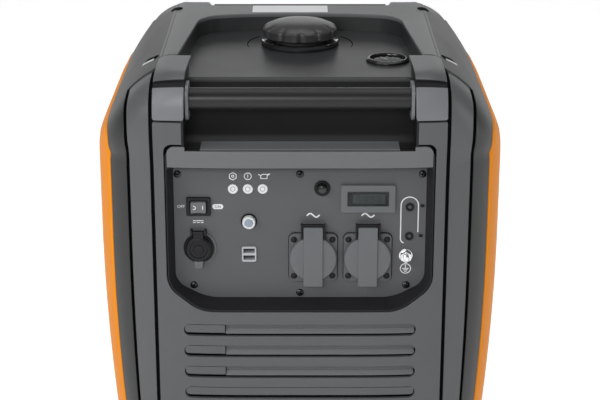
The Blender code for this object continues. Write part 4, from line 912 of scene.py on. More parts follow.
def make_pocket(form, outline):
    """Walls and floor of the starter pocket, open at the skin"""
    chart = form.side(-1)
    bm = bmesh.new()
    rounded_face(bm, outline)
    bmesh.ops.inset_region(bm, faces=bm.faces[:], thickness=POCKET_GAP)
    floor = max(bm.faces, key=lambda f: f.calc_area())
    bmesh.ops.delete(bm, geom=[f for f in bm.faces if f is not floor], context="FACES")
    made = bmesh.ops.extrude_face_region(bm, geom=bm.faces[:])["geom"]
    bmesh.ops.translate(bm, verts=new_verts(made), vec=(0, 0, -1))

    def at_mouth(vert):
        return vert.co.z > -0.5
    mouth = [f for f in bm.faces if all(at_mouth(v) for v in f.verts)]
    bmesh.ops.delete(bm, geom=mouth, context="FACES_ONLY")
    gridded(bm)
    for vert in bm.verts:
        y, z = vert.co.x, vert.co.y
        vert.co = (chart(y, z, POCKET_GAP).x if at_mouth(vert) else POCKET_FLOOR_X, y, z)
    pocket = thickened(bm, POCKET_WALL, lambda: leaning(bm, 0) > 0)
    piece("starter_pocket", pocket, "base_black")


LATCH_RADIUS = 0.0128
LATCH_GAP = 0.0008
LATCH_SEAT = {"radius": LATCH_RADIUS + 0.0016, "drop": 0.0013}
LATCH_SLOT = (0.0030, 0.0180)
LATCH_RISE = 0.0034


def make_service_door(form):
    s = form.sizes
    outline = rectangle(DOOR_Y, DOOR_Z, DOOR[0] - DOOR_SEAM * 2, DOOR[1] - DOOR_SEAM * 2, DOOR_ROUND)
    low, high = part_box("door_latch")
    latch_y, latch_z = (low.y + high.y) / 2, (low.z + high.z) / 2
    hole = circle(latch_y, latch_z, LATCH_RADIUS + LATCH_GAP)
    door = gridded(plate(outline, (hole,), depth=s.wall, edge=0.0012, steps=EDGE_STEPS))
    door = pressed(lifted(door, s.side_proud), form.side(1))
    piece("service_door_shell", door, "side_orange", "service_door", ("service_door",))
    radius = LATCH_SEAT["radius"]
    seat = turned([(0.0, 0.0), (radius, 0.0), (radius, SHEET), (0.0, SHEET)])
    seat = stood(seat, (low.x - LATCH_SEAT["drop"], latch_y, latch_z), "+X")
    piece("door_latch_seat", seat, "seam_black", "service_door")
    slot = rectangle(0, 0, *LATCH_SLOT, radius=0.0012)
    disc = plate(circle(0, 0, LATCH_RADIUS), (slot,), depth=0.0030, edge=0.0005)
    floor = lifted(plate(circle(0, 0, LATCH_RADIUS - 0.001), depth=SHEET, edge=0), -0.0018)
    latch = stood(lifted(joined(disc, floor), LATCH_RISE), (low.x, latch_y, latch_z), "+X")
    piece("door_latch_disc", latch, "control_black", "door_latch", ("door_latch",))


TOP_MIDDLE = 0.118
TOP_HEIGHT = 0.4806
TOP_TURN = 0.070
BRACKET_MIDDLE = 0.1273
TOP_FRONT = -0.1267
TRAY_EDGE = ((0.1290, TOP_FRONT, 0.0), (0.1158, 0.0400, 0.010), (0.1010, 0.0618, 0.010),
             (0.0517, 0.0716, 0.020))
TRAY_WALL = 0.0020
BLANK_PLATE = (-0.0116, 0.0955, 0.088, 0.034)
BLANK_RISE = 0.0004


def make_top(form):
    s = form.sizes
    end = TOP_MIDDLE + TOP_TURN * math.pi / 2
    rear_half = WELL_HALF[1] + CHEEK
    tray = [(y, x, r) for x, y, r in TRAY_EDGE]
    right = [(TOP_FRONT, CENTRE_HALF), (end, CENTRE_HALF), (end, rear_half), (TOP_MIDDLE, rear_half, 0.004)]
    left = [(c[0], -c[1], *c[2:]) for c in reversed(right)]
    inner = [(y, -x, r) for y, x, r in tray] + tray[::-1]
    skin = gridded(plate(right + left + inner, depth=s.wall, edge=0.0014, steps=EDGE_STEPS))
    skin = pressed(skin, form.over(TOP_MIDDLE, TOP_HEIGHT, TOP_TURN))
    piece("top_skin", skin, "top_dark", replaces=("top_cover",))
    make_tray_wall(form)
    make_well(form, -1)
    make_well(form, 1)
    make_slits(form)
    label = plate(rectangle(*BLANK_PLATE, radius=0.0015), depth=0.0006, edge=0.0002)
    piece("blank_plate", lifted(label, s.top + BLANK_RISE), "label_pale")


def make_tray_wall(form):
    """The upright wall round the tray, from the skin down to the tray floor"""
    bm = bmesh.new()
    path = [(-x, y) for x, y, _ in TRAY_EDGE] + [(x, y) for x, y, _ in reversed(TRAY_EDGE)]
    head, foot = form.top - form.sizes.wall + 0.0002, TRAY_Z - SHEET
    verts = [bm.verts.new((x, y, head)) for x, y in path]
    edges = [bm.edges.new(pair) for pair in zip(verts, verts[1:])]
    made = bmesh.ops.extrude_edge_only(bm, edges=edges)["geom"]
    bmesh.ops.translate(bm, verts=new_verts(made), vec=(0, 0, foot - head))
    for x, y, radius in TRAY_EDGE[1:]:
        folds = [e for e in bm.edges if abs(e.verts[0].co.z - e.verts[1].co.z) > (head - foot) / 2
                 and abs(abs(e.verts[0].co.x) - x) + abs(e.verts[0].co.y - y) < 10 * NO_GAP]
        folded(bm, folds, radius)
    wall = thickened(bm, TRAY_WALL, lambda: end_leaning(bm, 1) > 0)
    # the tray wall takes the dark rail finish, partly as painted shade inside the tray
    piece("tray_wall", wall, "rail_dark")


WELL_FLOOR_Z = 0.450
WELL_SLOPE_Z = 0.478
WELL_SHEET = 0.0020
WELL_SKIN_GAP = 0.0012
WELL_LIP = 0.003
WELL_FOLDS = (0, 0.006, 0.010, 0.0025, 0)
CHEEK_ROUND = 0.036
CHEEK_BACK = 0.040
CHEEK_FALL = (0.012, 0.034, 0.056)
CHEEK_FALL_END = 0.140
FRONT_WELL = {"back": -0.165, "floor": -0.188, "lip": -0.2228}
REAR_WELL = {"back": 0.118, "floor": 0.143, "lip": 0.2228}
TRAY_FRONT = -0.1449
SILL_HALF = 0.1010
SILL_BACK = -0.1865
SILL_RISE = 0.0008


def kept_inside(form, bm, half, ceiling):
    """Hold the part of a sheet below a height between the cheeks and behind the skin"""
    for vert in bm.verts:
        if vert.co.z < ceiling:
            vert.co.x = max(-half, min(half, vert.co.x))
            skin = form.skin_y(vert.co.x, min(vert.co.z, COVER_TOP)) - WELL_SKIN_GAP
            vert.co.y = max(-skin, min(skin, vert.co.y))
    return bm


def make_well(form, end):
    """Hand well under a handle bar, and behind the front one the tray floor"""
    name, well, look = ("front", FRONT_WELL, "handle_black") if end < 0 else ("rear", REAR_WELL, "top_dark")
    back, floor, lip = well["back"], well["floor"], well["lip"]
    half = WELL_HALF[end]
    head = (TRAY_FRONT - 0.004, TRAY_Z - 0.003) if end < 0 else (back, form.top - 0.0012)
    points = [head, (back, WELL_SLOPE_Z), (floor, WELL_FLOOR_Z), (lip, WELL_FLOOR_Z),
              (lip, WELL_FLOOR_Z - WELL_LIP)]
    slope = strip(points, WELL_FOLDS, half + CHEEK / 2, WELL_SHEET)
    slope = kept_inside(form, gridded(slope), half + CHEEK / 2, TRAY_Z - 0.004)
    piece(name + "_well", slope, look)
    if end < 0:
        make_tray_floor()
        points = [(SILL_BACK, WELL_FLOOR_Z + SILL_RISE), (lip, WELL_FLOOR_Z + SILL_RISE),
                  (lip, WELL_FLOOR_Z - WELL_LIP)]
        sill = strip(points, [0, 0.0025, 0], SILL_HALF, 0.0012)
        sill = kept_inside(form, gridded(sill), SILL_HALF, TRAY_Z)
        # the sill takes the lighter strip colour as painted light where the bar shades it
        piece("front_sill", sill, "strip_grey")
        back += CHEEK_BACK
    face = end * (form.skin_y(half, WELL_SLOPE_Z) - 0.0008)
    foot, roof = WELL_FLOOR_Z - 0.001, form.top - 0.0030
    head = [(face, roof, CHEEK_ROUND)]
    if end > 0:
        stations = [face - drop for drop in CHEEK_FALL] + [CHEEK_FALL_END]
        head = [(face, WELL_SLOPE_Z)] + [(y, roof - form.fall(half, y, roof)) for y in stations]
    cheeks = []
    for side in (-1, 1):
        cheek = plate([(back, foot), (face, foot), *head, (back, roof)], depth=CHEEK, edge=0.0007)
        cheeks.append(pressed(cheek, lambda y, z, out: Vector((side * (half - out), y, z))))
    piece(name + "_well_cheeks", joined(*cheeks), look)


BOSS = 0.0590
BOSS_LINE = 0.0016
BOSS_TURNS = ((142, 194), (38, -14))
BOSS_STEPS = 14
TRAY_BACK = 0.0745
TRAY_HALF = 0.1300
TRAY_ROLL = (0.0045, 0.0080)


def make_tray_floor():
    """Floor of the tray with a rolled front edge, and the two tapered arcs beside the filler"""
    points = [(TRAY_BACK, TRAY_Z), (TRAY_FRONT, TRAY_Z), (TRAY_FRONT - TRAY_ROLL[0], TRAY_Z - TRAY_ROLL[1])]
    floor = gridded(strip(points, [0, 0.004, 0], TRAY_HALF, WELL_SHEET))
    piece("tray_floor", floor, "tray_dark")
    arcs = []
    for start, end in BOSS_TURNS:
        path = arc_points(*FILLER, BOSS, start, end, BOSS_STEPS)
        for k, ends in enumerate(zip(path, path[1:])):
            line = BOSS_LINE * (1.15 - 0.05 * k)
            arcs.append(bar_between(*ends, line, depth=0.0004, height=TRAY_Z + 0.0002, lap=0.0004))
    piece("tray_arcs", joined(*arcs), "seam_black")


# near-black bars stand in for the slit openings as painted shade; pale bars below the front ones are painted
# highlights on the lower lip
SLITS = (((-0.1667, -0.0836), (-0.1523, -0.1094)), ((-0.1523, 0.1169), (-0.1398, 0.0956)))
SLIT_PROUD = 0.0008
SLIT_SHADE = (0.0008, 0.0050)
SLIT_HIGHLIGHT = (-0.0028, 0.0017)


def make_slits(form):
    """Short drain slits in the rails, the front ones with a bright lower lip"""
    shade_bars, highlight_bars = [], []
    for side in (1, -1):
        for (x0, y0), (x1, y1) in SLITS:
            long, turn = math.hypot(x1 - x0, y1 - y0), math.atan2(y1 - y0, x1 - x0)
            lines = [(shade_bars, *SLIT_SHADE)] + ([(highlight_bars, *SLIT_HIGHLIGHT)] if y0 < 0 else [])
            for made, shift, line in lines:
                bar = plate(rectangle(0, shift, long, line, line * 0.45), depth=0.0012, edge=0)
                gridded(bar, 0.004, 0.004)
                bmesh.ops.rotate(bar, verts=bar.verts, cent=(0, 0, 0), matrix=Matrix.Rotation(turn, 3, "Z"))
                for vert in bar.verts:
                    x, y = side * (vert.co.x + (x0 + x1) / 2), vert.co.y + (y0 + y1) / 2
                    rise = form.reach((x, y, HOOP_HEIGHT), (0.0, 0.0, 1.0))
                    vert.co = (x, y, HOOP_HEIGHT + rise + vert.co.z + SLIT_PROUD)
                made.append(outward(bar))
    piece("rail_slits", joined(*shade_bars), "seam_black")
    piece("rail_slit_lips", joined(*highlight_bars), "lens_grey")


BRACKET_INNER = (0.1169, 0.1140)
CAP_END = 0.2061
NECK = (0.2010, 0.2160)
NECK_DROP = 0.0042
BLOCK_START = 0.2122
BRACKET_GRID = (0.004, 0.006)
COLLAR_X = (0.1124, 0.1156)
COLLAR_Y = (-0.2150, -0.1800)
COLLAR_Z = (0.4774, 0.5140)
COLLAR_ROUND = 0.010


def make_brackets(form):
    """Front block, sunk neck and top cap of each handle bracket"""
    front, rear = BRACKET_INNER
    chart = form.over(BRACKET_MIDDLE, TOP_HEIGHT + 0.0006, TOP_TURN)
    end = BRACKET_MIDDLE + TOP_TURN * math.pi / 2

    def inner_at(along):
        return rear + (front - rear) * (along - BRACKET_MIDDLE) / (end - BRACKET_MIDDLE)

    for name, side in (("left", -1), ("right", 1)):
        outer = side * CENTRE_HALF
        inner = side * inner_at(BLOCK_START)
        block = [(-end, side * front, 0.002), (-BLOCK_START, inner, 0.001), (-BLOCK_START, outer),
                 (-end, outer, 0.002)]
        block = gridded(plate(block, depth=0.010, edge=0.0028, steps=4), *BRACKET_GRID)
        piece(name + "_bracket_block", pressed(block, chart), "bracket_grey",
              replaces=(name + "_handle_bracket",))
        # sunk neck in near-black: painted shade under the lip of the cap
        neck = [(-NECK[1], inner), (-NECK[0], inner), (-NECK[0], outer), (-NECK[1], outer)]
        neck = lifted(gridded(plate(neck, depth=0.006, edge=0), *BRACKET_GRID), -NECK_DROP)
        piece(name + "_bracket_neck", pressed(neck, chart), "bezel_black")
        cap = [(-CAP_END, side * inner_at(CAP_END), 0.001), (-BRACKET_MIDDLE, side * rear, 0.001),
               (-BRACKET_MIDDLE, outer), (-CAP_END, outer)]
        cap = gridded(plate(cap, depth=0.0030, edge=0.0009), 0.006, 0.006)
        piece(name + "_bracket_cap", pressed(cap, chart), "top_dark")


BAR_POWER = 2.1


def make_bars(_form):
    """The two carrying bars, and the collars at the ends of the front one"""
    for node, name in (("front_handle_bar", "front_bar"), ("rear_handle_bar", "rear_bar")):
        low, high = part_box(node)
        centre, size = (low + high) / 2, high - low
        bar = plate(squared_oval(centre.y, centre.z, size.y, size.z, BAR_POWER), depth=size.x, edge=0)
        bar = pressed(bar, lambda y, z, out: Vector((high.x + out, y, z)))
        piece(name, bar, "bar_black", replaces=(node,))
    wide, high = COLLAR_Y[1] - COLLAR_Y[0], COLLAR_Z[1] - COLLAR_Z[0]
    outline = rectangle(sum(COLLAR_Y) / 2, sum(COLLAR_Z) / 2, wide, high, COLLAR_ROUND)
    collars = []
    for side in (-1, 1):
        collar = plate(outline, depth=COLLAR_X[1] - COLLAR_X[0], edge=0.0006)
        collars.append(pressed(collar, lambda y, z, out: Vector((side * (COLLAR_X[0] - out), y, z))))
    # the collars take the lighter bracket colour, painted light as on the brackets
    piece("bar_collars", joined(*collars), "bracket_grey")


FILLER = (0.0, 0.005)
# place of the bright crescents that stand in for reflections on the collar
GLINT_CRESCENT = {"inner": 0.0330, "outer": 0.0432, "turns": ((184, 226), (-46, -4))}
CAP_LOBES = 12
CAP_LOBE_DEPTH = 0.060
FILLER_BORE = 0.0302
FILLER_STEP = 0.0012


def scalloped(bm, radius, lobes, depth, power=1):
    """Press hollows into the rim of a turned piece"""
    for vert in bm.verts:
        if math.hypot(vert.co.x, vert.co.y) > radius:
            turn = math.atan2(vert.co.y, vert.co.x) * lobes
            share = 1 - depth * max(0.0, math.cos(turn)) ** power
            vert.co.x *= share
            vert.co.y *= share
    return bm


def make_fuel(_form):
    low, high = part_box("filler_collar")
    foot = (*FILLER, low.z)
    outer, inner = (high.x - low.x) / 2, FILLER_BORE
    rise = high.z - low.z
    step = rise - FILLER_STEP
    collar = turned([(inner, 0), (outer, 0), (outer, rise * 0.55), (outer - 0.003, rise),
                     (outer - 0.0075, rise), (outer - 0.0085, step), (inner, step), (inner, 0)], edge=0.0005)
    piece("filler_ring", stood(collar, foot), "control_black", replaces=("filler_collar",))
    # bright steel crescents on the collar top, left and right of the cap: painted reflection where the collar
    # shows bright glints
    lugs = []
    for start, end in GLINT_CRESCENT["turns"]:
        outline = arc_points(0, 0, GLINT_CRESCENT["outer"], start, end, 10)
        outline += arc_points(0, 0, GLINT_CRESCENT["inner"], end, start, 10)
        glint_crescent = lifted(plate(outline, depth=0.0006, edge=0.0002), rise + 0.0005)
        lugs.append(stood(glint_crescent, foot))
    piece("filler_lugs", joined(*lugs), "bright_steel")
    low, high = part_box("fuel_cap")
    radius, rise = (high.x - low.x) / 2, high.z - low.z
    cap = turned([(0, 0), (radius - 0.0015, 0), (radius, 0.0012), (radius, 0.0085), (radius - 0.0016, 0.0105),
                  (radius - 0.0035, 0.0118), (radius * 0.72, rise - 0.0018), (radius * 0.42, rise - 0.0004),
                  (radius * 0.2, rise), (0, rise)], count=96)
    cap = scalloped(cap, radius * 0.9, CAP_LOBES, CAP_LOBE_DEPTH, power=5)
    cap = stood(cap, (*FILLER, low.z))
    piece("fuel_cap_top", cap, "cap_black", "fuel_cap", ("fuel_cap",))
    make_gauge()


GAUGE_WALL = 0.0050
GAUGE_HEIGHTS = {"dial": 0.0003, "tick": 0.0004, "needle": 0.0006}
GAUGE_TICKS = (60, 30, 0, -30, -60)
GAUGE_NEEDLE = 35


def make_gauge():
    """Fuel gauge: ring, dark dial with ticks and needle, and a clear lens"""
    low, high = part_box("gauge_bezel")
    foot = ((low.x + high.x) / 2, (low.y + high.y) / 2, low.z)
    radius, rise = (high.x - low.x) / 2, high.z - low.z
    bore = radius - GAUGE_WALL
    ring = turned([(bore, 0), (radius, 0), (radius, rise * 0.5), (radius - 0.0016, rise * 0.92),
                   (radius - 0.0026, rise), (bore + 0.0010, rise), (bore, rise - 0.0016), (bore, 0)],
                  edge=0.0003)
    piece("gauge_ring", stood(ring, foot), "gloss_black", replaces=("gauge_bezel",))
    dial = lifted(plate(circle(0, 0, bore - 0.0002), depth=0.0004, edge=0), GAUGE_HEIGHTS["dial"])
    piece("gauge_dial", stood(dial, foot), "seam_black")
    tick = rectangle(0, bore * 0.70, 0.0010, 0.0042, radius=0.0003)
    needle = [(-0.0007, 0), (0.0007, 0), (0.0002, bore * 0.62), (-0.0002, bore * 0.62)]
    marks = []
    shapes = [(tick, "tick", turn) for turn in GAUGE_TICKS] + [(needle, "needle", GAUGE_NEEDLE)]
    for outline, kind, turn in shapes:
        mark = lifted(plate(outline, depth=0.0002, edge=0), GAUGE_HEIGHTS[kind])
        marks.append(stood(mark, foot, roll=math.radians(turn)))
    piece("gauge_marks", joined(*marks), "lens_grey")
    rim = bore - 0.0003
    lens = turned([(0, 0.0002), (rim, 0.0002), (rim, 0.0011), (bore * 0.6, 0.0013), (0, 0.0014)])
    piece("gauge_glass", stood(lens, foot), "clear_window", replaces=("gauge_lens",))


# Control panel

BEZEL_STRIP = 0.0190
STRIP_END_TOP = 0.4542
BEZEL_RIM = 0.0016
FLOOR_DROP = 0.0049
CORNER_DROP = 0.0023
DRAFT = 0.0050
STRIP_HALF = 0.1350
STRIP_PROUD = 0.0006
FUNNEL_WALL = 0.0015
BACKING = {"half": 0.1466, "low": 0.2630, "high": 0.4590, "notch_half": 0.1205, "notch": 0.4465,
           "drop": 0.0050}


def bezel_corners(half, top, bottom, bottom_half, corner_z, upper, lower):
    return mirrored([(half, top, upper), (half, corner_z, lower), (bottom_half, bottom, lower)])


def make_bezel(form):
    chart = form.front(-1)
    rim = BEZEL_RIM
    outer = bezel_corners(BEZEL_HALF, BEZEL_TOP, BEZEL_BOTTOM, BEZEL_BOTTOM_HALF, BEZEL_CORNER_Z,
                          WINDOW_ROUND, BEZEL_ROUND)
    mouth = bezel_corners(BEZEL_HALF - rim, BEZEL_TOP - BEZEL_STRIP, BEZEL_BOTTOM + rim,
                          BEZEL_BOTTOM_HALF - rim * 0.4, BEZEL_CORNER_Z + rim * 0.6, 0.004, 0.011)
    face = gridded(plate(outer, (mouth,), depth=0.0030, edge=0.0010, steps=EDGE_STEPS))
    piece("bezel_face", pressed(face, chart), "bezel_black", replaces=("panel_bezel",))
    low, high, inner = BEZEL_TOP - BEZEL_STRIP + 0.0006, BEZEL_TOP - 0.0002, WELL_HALF[-1] - 0.0006
    right = [(STRIP_HALF, low), (STRIP_HALF, STRIP_END_TOP, WINDOW_ROUND), (inner, STRIP_END_TOP, 0.001),
             (inner, high)]
    strip_face = lifted(gridded(plate(mirrored(right), depth=0.0024, edge=0.0007)), STRIP_PROUD)
    piece("bezel_strip", pressed(strip_face, chart), "strip_grey")
    make_funnel(chart, mouth)
    # near-black sheet behind the bezel: painted shade seen through the gaps round the bezel
    b = BACKING
    right = [(b["half"], b["low"]), (b["half"], b["high"]), (b["notch_half"], b["high"]),
             (b["notch_half"], b["notch"])]
    hole = bezel_corners(BEZEL_HALF - 0.001, BEZEL_TOP - 0.004, BEZEL_BOTTOM + 0.002, BEZEL_BOTTOM_HALF,
                         BEZEL_CORNER_Z, 0.006, BEZEL_ROUND)
    back = gridded(plate(mirrored(right), (hole,), depth=SHEET, edge=0), BACKING_GRID, BACKING_GRID)
    piece("bezel_backing", pressed(lifted(back, -b["drop"]), chart), "seam_black")


def make_funnel(chart, mouth):
    """Sloped walls from the mouth of the bezel down to the control panel"""
    drops = (DRAFT * 0.4, CORNER_DROP, -FLOOR_DROP)
    drops += drops[::-1]
    floor = [(u - math.copysign(DRAFT, u), v - drop, r) for (u, v, r), drop in zip(mouth, drops)]
    bm = bmesh.new()
    rounded_face(bm, mouth)
    near = set(bm.verts)
    rounded_face(bm, floor)
    for vert in bm.verts:
        if vert not in near:
            vert.co.z = -1
    bmesh.ops.delete(bm, geom=bm.faces[:], context="FACES_ONLY")
    bmesh.ops.bridge_loops(bm, edges=bm.edges[:])
    gridded(bm, 0.012, 0.012)
    for vert in bm.verts:
        skin = chart(vert.co.x, vert.co.y, -0.0004)
        share = -vert.co.z
        vert.co = (skin.x, skin.y + (PLATE_Y - 0.0002 - skin.y) * share, skin.z)
    wall = thickened(bm, FUNNEL_WALL, lambda: end_leaning(bm, 2) > 0)
    piece("bezel_wall", wall, "bezel_black")


PANEL_BOTTOM_HALF = 0.104


def make_panel(_form):
    low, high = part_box("control_panel")
    outline = bezel_corners(high.x, high.z - PANEL_Z, low.z - PANEL_Z, PANEL_BOTTOM_HALF,
                            BEZEL_CORNER_Z - PANEL_Z, 0.004, BEZEL_ROUND)
    holes = [rectangle(*window, radius=0.0005) for window in panel_windows()]
    sheet = pressed(plate(outline, holes, depth=high.y - low.y, edge=0), on_panel)
    piece("panel_sheet", sheet, "panel_grey", replaces=("control_panel",))


def panel_windows():
    """Openings behind the rocker and the sockets: place and size"""
    dc, usb, switch = DC_AT, place_of("usb_socket")[:2], place_of("switch_frame")[:2]
    mains = [(x, AC_Z, AC_WINDOW, AC_WINDOW) for x in AC_XS]
    return [(*switch, *SWITCH_WINDOW), (dc[0], dc[1], DC_WINDOW, DC_WINDOW), (*usb, *USB_WINDOW), *mains]


DC_AT = (-0.1055, -0.018)
AC_XS = (0.0137, 0.0705)
AC_Z = -0.028
AC_WINDOW = 0.0360
DC_WINDOW = 0.0220
USB_WINDOW = (0.0130, 0.0140)
SWITCH_WINDOW = (0.0200, 0.0150)


# Pieces on the control panel

MARK = 0.00014
LINE = 0.0008
LAYER = 0.00001


def raised(outline, low, high, edge=0.0006, holes=(), steps=2):
    """A plate that stands on the panel between two heights"""
    return pressed(lifted(plate(outline, holes, high - low, edge, steps), high), on_panel)


def knob(u, v, profile, edge=0.0, count=ROUND_STEPS):
    """A turned piece that stands on the panel"""
    return stood(turned(profile, edge, count=count), on_panel(u, v, 0), "-Y")


def place_of(node):
    """Place of a node on the panel, its size, and how far it stands out"""
    low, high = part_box(node)
    centre, size = (low + high) / 2, high - low
    return centre.x, centre.z - PANEL_Z, size, PLATE_Y - low.y


def ring_mark(u, v, radius, line=LINE):
    return raised(circle(u, v, radius), -MARK, MARK, 0, (circle(u, v, radius - line),))


def bar_mark(u, v, wide, high, round_=0.0002):
    return raised(rectangle(u, v, wide, high, round_), -MARK, MARK, 0)


def line_mark(points, line=LINE):
    """A printed line through a few places"""
    bars = []
    for k, ends in enumerate(zip(points, points[1:])):
        bar = bar_between(*ends, line, depth=MARK * 2, height=MARK + LAYER * k, lap=line, radius=line * 0.49)
        bars.append(pressed(bar, on_panel))
    return joined(*bars)


def letters(text, u, v, size, rise=0.0):
    """Printed letters or figures, centred on a place of the panel"""
    curve = bpy.data.curves.new("letters", "FONT")
    curve.body = text
    curve.size = size
    curve.align_x = "CENTER"
    curve.align_y = "CENTER"
    curve.extrude = MARK
    curve.resolution_u = 3
    obj = bpy.data.objects.new("letters", curve)
    mesh = obj.to_mesh()
    bm = bmesh.new()
    bm.from_mesh(mesh)
    obj.to_mesh_clear()
    bpy.data.objects.remove(obj)
    bpy.data.curves.remove(curve)
    bmesh.ops.remove_doubles(bm, verts=bm.verts, dist=NO_GAP)
    bmesh.ops.translate(bm, verts=bm.verts, vec=(u, v, rise))
    return pressed(bm, on_panel)


def arc_points(u, v, radius, start, end, steps):
    angles = [math.radians(start + (end - start) * i / steps) for i in range(steps + 1)]
    return [(u + radius * math.cos(a), v + radius * math.sin(a)) for a in angles]


def wave_points(u, v, wide, high, steps=12):
    shares = [i / steps for i in range(steps + 1)]
    return [(u + wide * (share - 0.5), v + high / 2 * math.sin(math.tau * share)) for share in shares]


SCREWS = ((-0.126, 0.063), (0.0, 0.063), (0.126, 0.063), (-0.1113, -0.0594), (0.0, -0.068),
          (0.1113, -0.0594))
SCREW_HEAD = ((0.0, 0.0), (0.0040, 0.0), (0.0040, 0.0006), (0.0032, 0.0016), (0.0018, 0.0021), (0.0, 0.0022))
SCREW_CROSS = (0.0022, 0.0005)
SCREW_CROSS_Z = (0.0017, 0.0023)


def screw(u, v, base=0.0, share=1.0):
    return knob(u, v, [(r * share, base + h * share) for r, h in SCREW_HEAD], count=24)


def screw_cross(u, v):
    a, b = SCREW_CROSS
    quarter, cross = [(-a, -b), (-b, -b), (-b, -a)], []
    for _ in range(4):
        cross += quarter
        quarter = [(-y, x) for x, y in quarter]
    return raised([(u + x, v + y) for x, y in cross], *SCREW_CROSS_Z, edge=0)


def make_screws(_form):
    piece("panel_screws", joined(*(screw(u, v) for u, v in SCREWS)), "gloss_black")
    # near-black crosses on the screw heads: painted shade for the recesses
    piece("panel_screw_slots", joined(*(screw_cross(u, v) for u, v in SCREWS)), "seam_black")


LAMPS = ("lamp_oil", "lamp_overload", "lamp_output")
LAMP_SIGN_V = 0.0605
LAMP_SIGN = 0.0040
OIL_CAN = ((-0.0056, 0.0020), (-0.0032, 0.0008), (-0.0032, -0.0024), (0.0034, -0.0024), (0.0034, 0.0008),
           (0.0062, 0.0026), (0.0034, 0.0020), (-0.0010, 0.0022), (-0.0032, 0.0008))
WAVE = (0.0125, 0.0040)
WAVE_UP = 0.0460


def make_marks(_form):
    """Printed lines and signs on the control panel"""
    u, v = place_of("switch_frame")[:2]
    oval = rectangle(u + 0.0200, v - 0.0005, 0.0112, 0.0054, radius=0.0026)
    marks = [raised(oval, -MARK, MARK, edge=0), letters("OFF", u - 0.0182, v - 0.0005, 0.0044)]
    on = letters("ON", u + 0.0200, v - 0.0007, 0.0042, MARK)
    piece("panel_dark_marks", on, "control_black")
    first, second, third = (place_of(node)[0] for node in LAMPS)
    v = LAMP_SIGN_V
    marks += [line_mark(arc_points(first, v, LAMP_SIGN, 30, 390, 6)), ring_mark(first, v, 0.0016)]
    marks += [ring_mark(second, v, LAMP_SIGN), bar_mark(second, v + 0.0007, LINE, 0.0030),
              bar_mark(second, v - 0.0018, LINE, LINE)]
    marks.append(line_mark([(third + 0.0012 + a, v + b) for a, b in OIL_CAN]))
    marks += [line_mark(wave_points(x, AC_Z + WAVE_UP, *WAVE), 0.0015) for x in AC_XS]
    u, v = DC_AT
    marks.append(bar_mark(u, v + 0.0300, 0.0110, LINE))
    marks += [bar_mark(u + k * 0.0040, v + 0.0280, 0.0029, LINE) for k in (-1, 0, 1)]
    marks += jack_marks()
    piece("panel_marks", joined(*marks), "mark_white")


JACK_LINE = {"half": 0.0090, "rise": 0.0020, "end": 0.0050, "drop": 0.0030, "hook": 0.0045}
EARTH_DROP = 0.0150
EARTH_BARS = (0.0068, 0.0046, 0.0024)


def jack_marks():
    """Outline round the two parallel jacks, and the earth sign beside the stud"""
    u, upper = place_of("parallel_jack_upper")[:2]
    lower = place_of("parallel_jack_lower")[1]
    half, hook = JACK_LINE["half"], JACK_LINE["hook"]
    arch, foot = upper + JACK_LINE["rise"], lower - JACK_LINE["drop"]
    path = [(u + half, lower + JACK_LINE["end"]), *arc_points(u, arch, half, 0, 180, 14)]
    path += [(u - half, foot)] + arc_points(u - half + hook, foot, hook, 180, 250, 4)[1:]
    marks = [line_mark(path, 0.0011)]
    u, v = place_of("ground_stud")[:2]
    v -= EARTH_DROP
    marks += [ring_mark(u, v, 0.0058, 0.0009), bar_mark(u, v + 0.0020, 0.0010, 0.0044)]
    marks += [bar_mark(u, v - k * 0.0016, wide, 0.0010) for k, wide in enumerate(EARTH_BARS)]
    return marks


ROCKER_DEPTH = 0.0065
ROCKER_HOLLOW = 0.0011
SIGN_U = 0.0046
SIGN_DEPTH = 0.0006


def make_switch(_form):
    u, v, size, proud = place_of("switch_frame")
    hole = rectangle(u, v, 0.0172, 0.0132, radius=0.0010)
    outline = rectangle(u, v, size.x, size.z, radius=0.0016)
    rim = raised(outline, 0, proud, edge=0.0009, holes=(hole,), steps=EDGE_STEPS)
    well = raised(rectangle(u, v, 0.0180, 0.0140, radius=0.0010), -0.0050, -0.0040, edge=0)
    piece("switch_surround", joined(rim, well), "control_black", replaces=("switch_frame",))
    u, v, size, proud = place_of("switch_rocker")

    def on_key(across, up, out):
        return on_panel(u + across, v + up, proud + out)

    rocker = plate(rectangle(0, 0, size.x, size.z, radius=0.0012), depth=ROCKER_DEPTH, edge=0.0006)
    gridded(rocker, 0.0010, 0.0060)
    for vert in rocker.verts:
        if vert.co.z > -ROCKER_DEPTH / 2:
            vert.co.z -= ROCKER_HOLLOW * (1 - (vert.co.x / size.x * 2) ** 2)
    piece("switch_key", pressed(rocker, on_key), "rocker_grey", "switch_rocker",
          ("switch_rocker",))
    line = plate(rectangle(SIGN_U, 0, 0.0008, 0.0046, radius=0.0003), depth=SIGN_DEPTH, edge=0)
    ring = plate(circle(-SIGN_U, 0, 0.0022), (circle(-SIGN_U, 0, 0.0014),), depth=SIGN_DEPTH, edge=0)
    signs = pressed(lifted(joined(line, ring), -SIGN_DEPTH), on_key)
    piece("switch_key_signs", signs, "mark_white", "switch_rocker")


